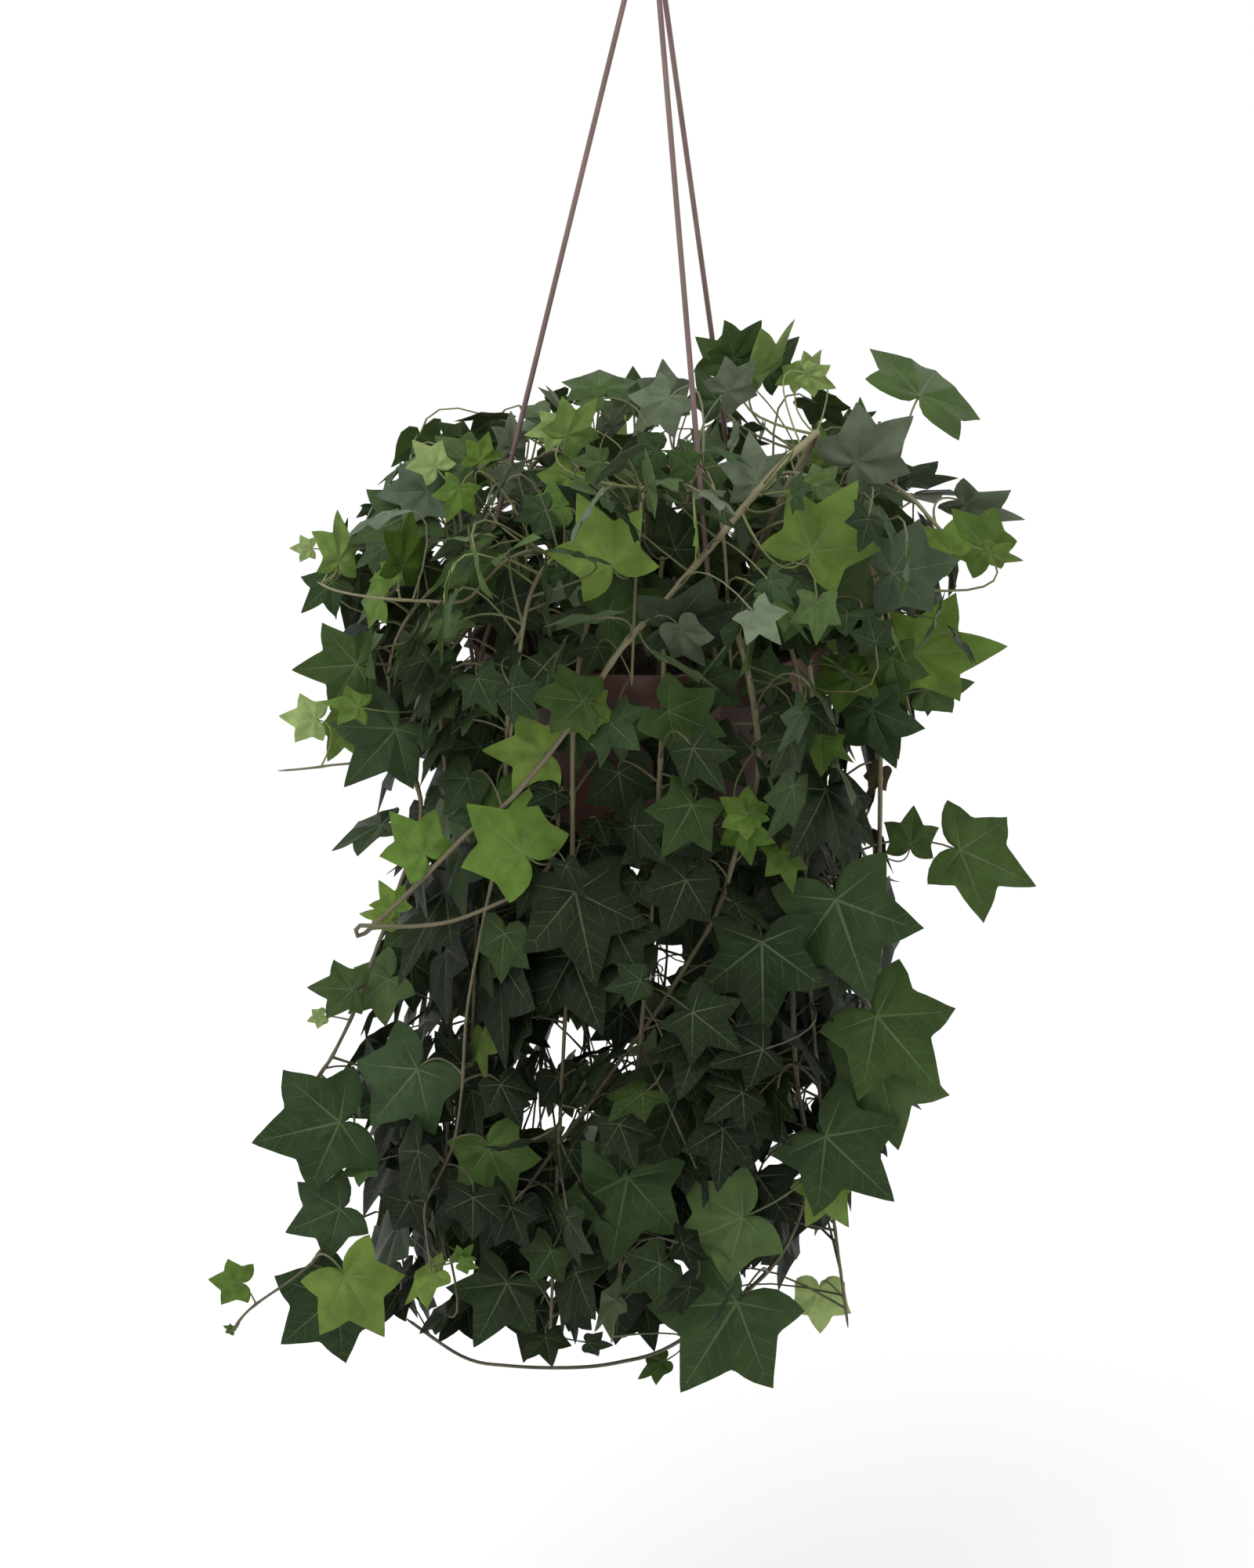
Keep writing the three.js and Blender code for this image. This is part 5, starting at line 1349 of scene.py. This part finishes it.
covers = [Cover(degrees) for degrees in SIDES_SEEN]
for stem in stems:
    for leaf in stem["leaves"]:
        for cover in covers:
            cover.add(leaf)
for number, cover in enumerate(covers):
    for index in np.flatnonzero(~cover.covered):
        if cover.covered[index]:
            continue
        leaf = place_cover(cover, cover.cells[index], 60000 * (number + 1) + 13 * int(index))
        if leaf:
            for other in covers:
                other.add(leaf)


# Materials
class Graph:
    """A material's shader nodes, put together by short calls."""

    def __init__(self, name):
        self.material = bpy.data.materials.new(name)
        self.material.use_nodes = True
        self.nodes = self.material.node_tree.nodes
        self.links = self.material.node_tree.links
        self.shader = self.nodes["Principled BSDF"]

    def set(self, socket, value):
        if isinstance(value, bpy.types.NodeSocket):
            self.links.new(value, socket)
        else:
            socket.default_value = value

    def node(self, kind, inputs=None, **settings):
        node = self.nodes.new(kind)
        for key, value in settings.items():
            setattr(node, key, value)
        for key, value in (inputs or {}).items():
            self.set(node.inputs[key], value)
        return node

    def math(self, operation, a, b=0.0):
        return self.node("ShaderNodeMath", {0: a, 1: b}, operation=operation).outputs[0]

    def times(self, a, b):
        return self.math("MULTIPLY", a, b)

    def plus(self, a, b):
        return self.math("ADD", a, b)

    def minus(self, a, b):
        return self.math("SUBTRACT", a, b)

    def step(self, value, low, high, to_low=0.0, to_high=1.0):
        node = self.node("ShaderNodeMapRange", {0: value, 1: low, 2: high, 3: to_low, 4: to_high},
                         interpolation_type="SMOOTHSTEP")
        return node.outputs[0]

    def blend(self, share, a, b, kind="MIX"):
        node = self.node("ShaderNodeMix", {0: share, 6: a, 7: b}, data_type="RGBA", blend_type=kind)
        return node.outputs[2]

    def noise(self, vector, scale, detail=3.0, rough=0.55):
        inputs = {"Vector": vector, "Scale": scale, "Detail": detail, "Roughness": rough}
        return self.node("ShaderNodeTexNoise", inputs).outputs["Fac"]

    def mark(self, name):
        return self.node("ShaderNodeAttribute", attribute_name=name)

    def bump(self, height, strength, distance):
        node = self.node("ShaderNodeBump", {"Strength": strength, "Distance": distance, "Height": height})
        self.links.new(node.outputs[0], self.shader.inputs["Normal"])

    def finish(self, color, roughness, specular=0.5):
        self.set(self.shader.inputs["Base Color"], color)
        self.set(self.shader.inputs["Roughness"], roughness)
        self.set(self.shader.inputs["Specular IOR Level"], specular)
        return self.material


def leaf_material():
    g = Graph("ivy_leaf")
    place = g.node("ShaderNodeSeparateXYZ", {0: g.mark("place").outputs["Vector"]})
    x, y, top = place.outputs
    aside = g.math("ABSOLUTE", y)
    tint = g.mark("tint")
    seed = tint.outputs["Alpha"]

    def by_line(degrees):
        """How far along a line out from the stalk at this angle a place lies, and how far off it."""
        turn = math.radians(degrees)
        ahead = g.plus(g.times(x, math.cos(turn)), g.times(aside, math.sin(turn)))
        off = g.minus(g.times(x, math.sin(turn)), g.times(aside, math.cos(turn)))
        return ahead, g.math("ABSOLUTE", off)

    def vein(degrees, length, width):
        """A main vein, narrower towards its end."""
        ahead, off = by_line(degrees)
        wide = g.step(ahead, 0.0, length, width, width * 0.25)
        line = g.step(off, g.times(wide, 0.5), g.times(wide, 1.5), 1.0, 0.0)
        line = g.times(line, g.math("GREATER_THAN", ahead, 0.0))
        return g.times(line, g.step(ahead, length * 0.85, length, 1.0, 0.0))

    def ribs(degrees, pitch, slope, shift):
        """Side veins that leave a main vein at a slant, at an even pitch."""
        ahead, off = by_line(degrees)
        run = g.minus(ahead, g.times(off, slope))
        run = g.plus(g.times(run, 1 / pitch), g.times(seed, shift))
        line = g.math("ABSOLUTE", g.minus(g.math("FRACT", run), 0.5))
        line = g.step(line, 0.012, 0.05, 1.0, 0.0)
        near_vein = g.step(off, 0.1, 0.24, 1.0, 0.0)
        return g.times(g.times(line, near_vein), g.math("GREATER_THAN", ahead, 0.12))

    main = g.math("MAXIMUM", vein(0, 0.97, 0.014), vein(52, 0.72, 0.012))
    main = g.math("MAXIMUM", main, vein(112, 0.46, 0.01))
    side = g.math("MAXIMUM", ribs(0, 0.17, 1.0, 3.0), ribs(52, 0.19, 0.9, 5.0))
    apart = g.node("ShaderNodeCombineXYZ", {2: g.times(seed, 40.0)}).outputs[0]
    marks = {0: g.mark("place").outputs["Vector"], 1: apart}
    flat = g.node("ShaderNodeVectorMath", marks, operation="ADD").outputs[0]
    mottle = g.noise(flat, 3.2)
    cells = g.node("ShaderNodeTexVoronoi", {"Scale": 17.0, "Vector": flat}, feature="DISTANCE_TO_EDGE")
    net = g.step(cells.outputs["Distance"], 0.0, 0.09, 1.0, 0.0)

    shade = g.step(mottle, 0.3, 0.7, 0.8, 1.16)
    shade = g.node("ShaderNodeCombineColor", {0: shade, 1: shade, 2: shade}).outputs[0]
    color = g.blend(1.0, tint.outputs["Color"], shade, "MULTIPLY")
    light = g.blend(0.6, color, (0.2, 0.26, 0.14, 1.0))
    for lines, share in ((main, 0.42), (side, 0.2), (net, 0.05)):
        color = g.blend(g.times(lines, share), color, light)
    below = g.blend(0.4, color, (0.12, 0.16, 0.07, 1.0))
    color = g.blend(g.math("LESS_THAN", top, 0.0), color, below)
    dents = g.plus(g.times(main, -1.0), g.times(side, -0.35))
    dents = g.plus(dents, g.times(net, -0.14))
    dents = g.plus(dents, g.times(mottle, 0.9))
    g.bump(dents, 0.45, 0.0007)
    return g.finish(color, g.step(mottle, 0.2, 0.8, 0.42, 0.56), 0.1)


def grained(name, broad_scale, fine_scale, detail=3.0, rough=0.55):
    """A new material with a broad and a fine grain."""
    g = Graph(name)
    spot = g.node("ShaderNodeTexCoord").outputs["Object"]
    return g, g.noise(spot, broad_scale), g.noise(spot, fine_scale, detail, rough)


def stem_material():
    g, broad, fine = grained("ivy_stem", 60.0, 900.0)
    color = g.mark("tint").outputs["Color"]
    color = g.blend(g.step(broad, 0.35, 0.65, 0.0, 0.45), color, (0.14, 0.11, 0.055, 1.0))
    color = g.blend(g.step(fine, 0.5, 0.75, 0.0, 0.3), color, (0.3, 0.28, 0.18, 1.0))
    g.bump(fine, 0.3, 0.0004)
    return g.finish(color, 0.55, 0.4)


def pot_material():
    g, broad, fine = grained("pot_clay_brown", 14.0, 420.0)
    color = g.blend(g.step(broad, 0.3, 0.7), (0.07, 0.027, 0.018, 1.0), (0.105, 0.04, 0.027, 1.0))
    g.bump(fine, 0.15, 0.0004)
    return g.finish(color, g.step(broad, 0.3, 0.7, 0.42, 0.55), 0.45)


def soil_material():
    g, broad, fine = grained("potting_soil", 70.0, 340.0, 6.0, 0.7)
    color = g.blend(g.step(fine, 0.35, 0.7), (0.011, 0.008, 0.006, 1.0), (0.05, 0.036, 0.026, 1.0))
    color = g.blend(g.step(broad, 0.6, 0.8, 0.0, 0.5), color, (0.075, 0.055, 0.038, 1.0))
    g.bump(fine, 0.8, 0.0015)
    return g.finish(color, 0.95, 0.2)


def hanger_material():
    g, broad, fine = grained("hanger_brown_plastic", 40.0, 700.0)
    color = g.blend(g.step(broad, 0.3, 0.7), (0.13, 0.075, 0.07, 1.0), (0.18, 0.11, 0.1, 1.0))
    g.bump(fine, 0.1, 0.0002)
    return g.finish(color, g.step(fine, 0.2, 0.8, 0.34, 0.46), 0.5)


IVY_LEAF = leaf_material()
IVY_STEM = stem_material()
POT_CLAY = pot_material()
SOIL = soil_material()
HANGER = hanger_material()


def own(piece, slot, *nodes):
    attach(piece, "root")
    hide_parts(*nodes)
    return piece


# Leafy stems
for number, stem in enumerate(stems):
    shape = Shape()
    add_stem(shape, stem)
    for order, leaf in enumerate(stem["leaves"]):
        draw = random_stream(31337 + 4999 * number + 17 * order)
        tint = leaf_tint(leaf, draw)
        # The stalk's own colour darkened low down as painted shade, mixed with its leaf's colour and the
        # light and shade painted into it
        pale = linear(*STALK_TONE) * np.interp(leaf["joint"][2] - RIM_Z, *STEM_PAINTED_SHADE_BY_HEIGHT)
        stalk_tint = tint * 0.55 + pale * 0.45
        add_blade(shape, leaf, draw, tint)
        add_stalk(shape, leaf, leaf["root"], stalk_tint)
    own(shape.build("fine_" + stem["name"], [IVY_LEAF, IVY_STEM]), "ivy", stem["name"])

# Pot: a turned shell with rounded edges, and drain holes through its base
POT_SIDES = 96
DRILL_SIDES = 24
SHARP = 35


def rounded(profile, radii, steps=4):
    """A profile with each corner rounded off by an arc of the radius given for it."""
    points = []
    last = len(profile) - 1
    for i, (corner, radius) in enumerate(zip(profile, radii)):
        corner = np.array(corner, float)
        if radius == 0 or i in (0, last):
            points.append(corner)
            continue
        before = np.array(profile[i - 1], float)
        after = np.array(profile[i + 1], float)
        back = (before - corner) / np.linalg.norm(before - corner)
        ahead = (after - corner) / np.linalg.norm(after - corner)
        reach = min(radius, 0.45 * np.linalg.norm(before - corner), 0.45 * np.linalg.norm(after - corner))
        start, end = corner + back * reach, corner + ahead * reach
        for step in range(steps + 1):
            t = step / steps
            points.append((1 - t) ** 2 * start + 2 * t * (1 - t) * corner + t * t * end)
    return points


def ring(radius, height, sides):
    turns = 2 * math.pi * np.arange(sides) / sides
    return [vec(radius * math.cos(turn), radius * math.sin(turn), height) for turn in turns]


def turned_faces(rows, sides):
    """The faces of rings between a first and a last point on the axis, from the lowest up."""
    faces = []
    for i in range(sides):
        j = (i + 1) % sides
        faces.append((0, 1 + j, 1 + i))
        for k in range(rows - 1):
            a, b = 1 + k * sides, 1 + (k + 1) * sides
            faces.append((a + i, a + j, b + j, b + i))
        a = 1 + (rows - 1) * sides
        faces.append((a + i, a + j, a + sides))
    return faces


def turned(name, profile, sides, base_height, material):
    """A closed solid turned round Z from a profile that starts and ends on the axis."""
    inner = profile[1:-1]
    points = [vec(0, 0, base_height + profile[0][1])]
    for radius, height in inner:
        points += ring(radius, base_height + height, sides)
    points.append(vec(0, 0, base_height + profile[-1][1]))
    shape = Shape()
    shape.add(points, turned_faces(len(inner), sides))
    return shape.build(name, [material], SHARP)


def add_boolean(piece, operation, tool):
    modifier = piece.modifiers.new(operation, "BOOLEAN")
    modifier.operation = operation
    modifier.solver = "EXACT"
    modifier.object = tool


def cut(piece, tools):
    """Applies what is laid on a piece, with the tools taken out of it, and removes the tools."""
    for tool in tools:
        add_boolean(piece, "DIFFERENCE", tool)
    bpy.context.view_layer.update()
    settled = bpy.data.meshes.new_from_object(piece.evaluated_get(bpy.context.evaluated_depsgraph_get()))
    piece.modifiers.clear()
    piece.data = settled
    for tool in tools:
        bpy.data.objects.remove(tool)


POT_PROFILE = [
    (0, -POT_HEIGHT), (BASE_RADIUS - 1, -POT_HEIGHT), (BASE_RADIUS + 1.2, 3 - POT_HEIGHT),
    (NECK_RADIUS, NECK),
    (BAND_FOOT_RADIUS, -BAND_HEIGHT), (RIM_RADIUS, 0), (RIM_RADIUS - WALL, 0),
    (BAND_FOOT_RADIUS - WALL, WALL - BAND_HEIGHT), (NECK_RADIUS - WALL, NECK + WALL),
    (BASE_RADIUS - WALL, WALL - POT_HEIGHT), (0, WALL - POT_HEIGHT),
]
POT_ROUNDS = [0, 1.6, 2, 1.2, 0.9, 0.9, 0.9, 1.5, 1.5, 2, 0]

pot = turned("fine_pot", rounded(POT_PROFILE, POT_ROUNDS), POT_SIDES, RIM_Z, POT_CLAY)
drills = []
for index in range(DRAIN_HOLES):
    turn = (index + 0.5) / DRAIN_HOLES * 2 * math.pi
    middle = polar(DRAIN_RING, turn, WALL / 2 - POT_HEIGHT)
    drill = Shape()
    drill.tube([middle - UP * 3 * WALL, middle + UP * 3 * WALL], [DRAIN_RADIUS] * 2, DRILL_SIDES)
    drills.append(drill.build(f"drill_{index}", []))
cut(pot, drills)
own(pot, "pot", "pot")

# Soil: a rough bed with crumbs on it
SOIL_SIDES = 72
SOIL_RINGS = 22
CRUMBS = 260
SOIL_WAVES = 14
SOIL_SWELL = 0.42
SOIL_EDGE = 8
FULL_TURN = 6.283

shape = Shape()
draw = random_stream(2024)
edge_radius = BAND_FOOT_RADIUS - WALL + 0.2
waves = [(between(draw, 0.03, 0.16), between(draw, 0, FULL_TURN), between(draw, 0, FULL_TURN))
         for _ in range(SOIL_WAVES)]


def soil_height(x, y):
    total = 0.0
    for pitch, turn, phase in waves:
        total += math.sin((x * math.cos(turn) + y * math.sin(turn)) * pitch * 2 + phase)
    edge = min(1.0, (edge_radius - math.hypot(x, y)) / SOIL_EDGE)
    return SOIL_SWELL * total * max(0.0, edge)


points = [vec(0, 0, RIM_Z - SOIL_DROP)]
for row in range(1, SOIL_RINGS + 1):
    points += ring(edge_radius * row / SOIL_RINGS, RIM_Z - SOIL_DROP, SOIL_SIDES)
for point in points:
    point[2] += soil_height(point[0], point[1])
lower = [
    (BAND_FOOT_RADIUS - WALL - GAP, WALL + 1.5 * GAP - BAND_HEIGHT),
    (NECK_RADIUS - WALL - GAP, NECK + WALL + GAP / 2),
    (BASE_RADIUS - WALL - GAP, WALL + GAP - POT_HEIGHT),
]
for radius, height in lower:
    points += ring(radius, RIM_Z + height, SOIL_SIDES)
points.append(vec(0, 0, RIM_Z + lower[-1][1]))
# The rings of the soil go down, so its faces run the other way round
faces = [(face[0], *face[:0:-1]) for face in turned_faces(SOIL_RINGS + len(lower), SOIL_SIDES)]
shape.add(points, faces)

crumb_mesh = bmesh.new()
bmesh.ops.create_icosphere(crumb_mesh, subdivisions=1, radius=1)
crumb_points = np.array([v.co[:] for v in crumb_mesh.verts])
crumb_faces = [tuple(v.index for v in f.verts) for f in crumb_mesh.faces]
crumb_mesh.free()
for _ in range(CRUMBS):
    radius = (edge_radius - 4) * math.sqrt(draw())
    turn = between(draw, 0, 2 * math.pi)
    x, y = radius * math.cos(turn), radius * math.sin(turn)
    scale = between(draw, 0.9, 2.6)
    squash = vec(between(draw, 0.7, 1.3), between(draw, 0.7, 1.3), between(draw, 0.5, 0.9)) * scale
    rough = np.array([[between(draw, 0.8, 1.2)] for _ in crumb_points])
    spin = between(draw, 0, 2 * math.pi)
    local_x, local_y, local_z = (crumb_points * rough * squash).T
    spun = np.stack([local_x * math.cos(spin) - local_y * math.sin(spin),
                     local_x * math.sin(spin) + local_y * math.cos(spin), local_z], 1)
    centre = vec(x, y, RIM_Z - SOIL_DROP + soil_height(x, y) + 0.1 * scale)
    shape.add(spun + centre, crumb_faces)
own(shape.build("fine_soil", [SOIL], 60), "soil", "soil")

# Hanger: round strands with heads and clips, and a wire hook on a disc
TUBE_SIDES = 16


def band_face(height):
    return RIM_RADIUS + (RIM_RADIUS - BAND_FOOT_RADIUS) * height / BAND_HEIGHT


def band_under(radius):
    return NECK + BAND_STEP * (radius - NECK_RADIUS) / (BAND_FOOT_RADIUS - NECK_RADIUS)


BARB_TIP = NECK_RADIUS + 1.5
BARB_ROOT = band_face(-BAND_HEIGHT) + GAP
CLIP_INSIDE = band_face(0) + GAP
CLIP_OUTLINE = [
    (BARB_TIP, band_under(BARB_TIP) - GAP), (BARB_ROOT, band_under(BARB_ROOT) - GAP), (CLIP_INSIDE, 0),
    (CLIP_INSIDE, CLIP_RISE), (CLIP_INSIDE + CLIP_THICK, CLIP_RISE), (CLIP_INSIDE + CLIP_THICK, 0),
    (BARB_ROOT + CLIP_THICK, NECK - CLIP_THICK / 2), (BARB_TIP, NECK - CLIP_THICK),
]
bores = []
for side in STRANDS:
    name = f"hanger_strand_{side}"
    head, foot = strand_ends(side)
    heading = unit(foot - head)
    shape = Shape()
    stops = np.linspace(0, 1, 60)
    path = [mix(head - heading * HEAD_HEIGHT / 2, foot, stop) for stop in stops]
    shape.tube(path, [STRAND_RADIUS] * len(path), TUBE_SIDES)
    cap = [head, head + UP * (HEAD_HEIGHT - 0.5), head + UP * (HEAD_HEIGHT - 0.15), head + UP * HEAD_HEIGHT]
    shape.tube(cap, [STRAND_HEAD, STRAND_HEAD, STRAND_HEAD - 0.3, STRAND_HEAD - 0.8], TUBE_SIDES)
    azimuth = math.radians(STRANDS[side])
    out = vec(math.cos(azimuth), math.sin(azimuth), 0)
    along = cross(UP, out)
    corners = []
    for half in (-CLIP_WIDTH / 2, CLIP_WIDTH / 2):
        corners += [out * reach + UP * (RIM_Z + height) + along * half for reach, height in CLIP_OUTLINE]
    count = len(CLIP_OUTLINE)
    sides = [((i + 1) % count, i, i + count, (i + 1) % count + count) for i in range(count)]
    ends = [tuple(range(count)), tuple(range(2 * count - 1, count - 1, -1))]
    shape.add(corners, sides + ends)
    own(shape.build("fine_" + name, [HANGER], SHARP), "hanger", name)
    bore = Shape()
    path = [head - heading * 4, head + heading * 3 * HUB_THICK]
    bore.tube(path, [STRAND_RADIUS + 0.5] * 2, TUBE_SIDES)
    bores.append(bore.build("bore_" + side, []))

# The wire rises from the hub, goes round the bend over the rod and ends in a short tip
rise = [(0, HUB_TOP - 2), (0, HUB_TOP + 7), (6.5, HUB_TOP + 13.5), (12.5, HUB_TOP + 20)]
route = [vec(x, 0, z) for x, z in rise]
for turn in np.radians(HOOK_SWEEP / 7 * np.arange(8)):
    route.append(vec(HOOK_BEND * math.cos(turn), 0, HOOK_WIRE - HOOK_BEND + HOOK_BEND * math.sin(turn)))
route.append(vec(-HOOK_BEND - 3, 0, HOOK_WIRE - HOOK_BEND - 9))
wire = Curve(route)
HOOK_RINGS = 64
HOOK_SIDES = 20
HUB_SIDES = 64
stops = [wire.at(i / (HOOK_RINGS - 1)) for i in range(HOOK_RINGS)]
radii = np.full(HOOK_RINGS, HOOK_WIRE * 0.98)
radii[-3:] = HOOK_WIRE * np.array([0.93, 0.8, 0.5])
shape = Shape()
shape.tube(stops, radii, HOOK_SIDES)
hook = shape.build("fine_hook", [HANGER], SHARP)
hub_profile = [(0, -HUB_THICK), (HUB_RADIUS, -HUB_THICK), (HUB_RADIUS, 0), (0, 0)]
hub = turned("fine_hub", rounded(hub_profile, [0, 1, 1.2, 0]), HUB_SIDES, HUB_TOP, HANGER)
add_boolean(hook, "UNION", hub)
cut(hook, bores)
bpy.data.objects.remove(hub)
own(hook, "hanger", "hook")

# Floor, light and camera, in metres
FLOOR_Z = -1.15
FLOOR_HALF = 9.0
SWEEP_START = 2.6
SWEEP_RADIUS = 1.6
SWEEP_STEPS = 16
SWEEP_TOP = 3.0
LAMP_PLACE = Vector((-0.7, -0.9, 1.1))
LAMP_TARGET = Vector((0, 0, -0.5))
LAMP_SIZE = 1.6
LAMP_POWER = 14
SENSOR = 36


def sweep():
    """A floor that turns up into a plain wall behind."""
    profile = [(-FLOOR_HALF, FLOOR_Z)]
    for step in range(SWEEP_STEPS + 1):
        turn = math.pi / 2 * step / SWEEP_STEPS
        rise = SWEEP_RADIUS * (1 - math.cos(turn))
        profile.append((SWEEP_START + SWEEP_RADIUS * math.sin(turn), FLOOR_Z + rise))
    profile.append((SWEEP_START + SWEEP_RADIUS, SWEEP_TOP))
    corners = [(x, y, z) for y, z in profile for x in (-FLOOR_HALF, FLOOR_HALF)]
    quads = [(2 * i, 2 * i + 1, 2 * i + 3, 2 * i + 2) for i in range(len(profile) - 1)]
    mesh = bpy.data.meshes.new("floor")
    mesh.from_pydata(corners, [], quads)
    mesh.polygons.foreach_set("use_smooth", [True] * len(quads))
    return placed("floor", mesh)


floor = sweep()
g = Graph("pale_floor")
floor.data.materials.append(g.finish((0.98, 0.98, 0.98, 1.0), 0.9, 0.1))
floor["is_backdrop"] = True

world = bpy.data.worlds.new("studio")
bpy.context.scene.world = world
world.use_nodes = True
sky = world.node_tree.nodes["Background"]
sky.inputs["Color"].default_value = (1.0, 1.0, 1.0, 1.0)
sky.inputs["Strength"].default_value = 1.0

lamp_data = bpy.data.lights.new("key_above", "AREA")
lamp_data.shape = "DISK"
lamp_data.size = LAMP_SIZE
lamp_data.energy = LAMP_POWER
lamp = placed("key_above", lamp_data)
lamp.location = LAMP_PLACE
lamp.rotation_euler = (LAMP_TARGET - LAMP_PLACE).to_track_quat("-Z", "Y").to_euler()

scene = bpy.context.scene
camera_data = bpy.data.cameras.new("camera")
camera_data.sensor_fit = "VERTICAL"
camera_data.sensor_height = SENSOR
camera_data.sensor_width = SENSOR
camera_data.lens = SENSOR * VIEW_DISTANCE / PICTURE_HEIGHT
camera = placed("camera", camera_data)
camera.location = Vector(EYE * MM)
camera.rotation_euler = (math.pi / 2 - VIEW_TILT, 0, 0)
scene.camera = camera
scene.view_settings.view_transform = "Standard"
scene.view_settings.look = "None"

low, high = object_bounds()
{"cad": [list(cad_low), list(cad_high)], "visual": [list(low), list(high)]}
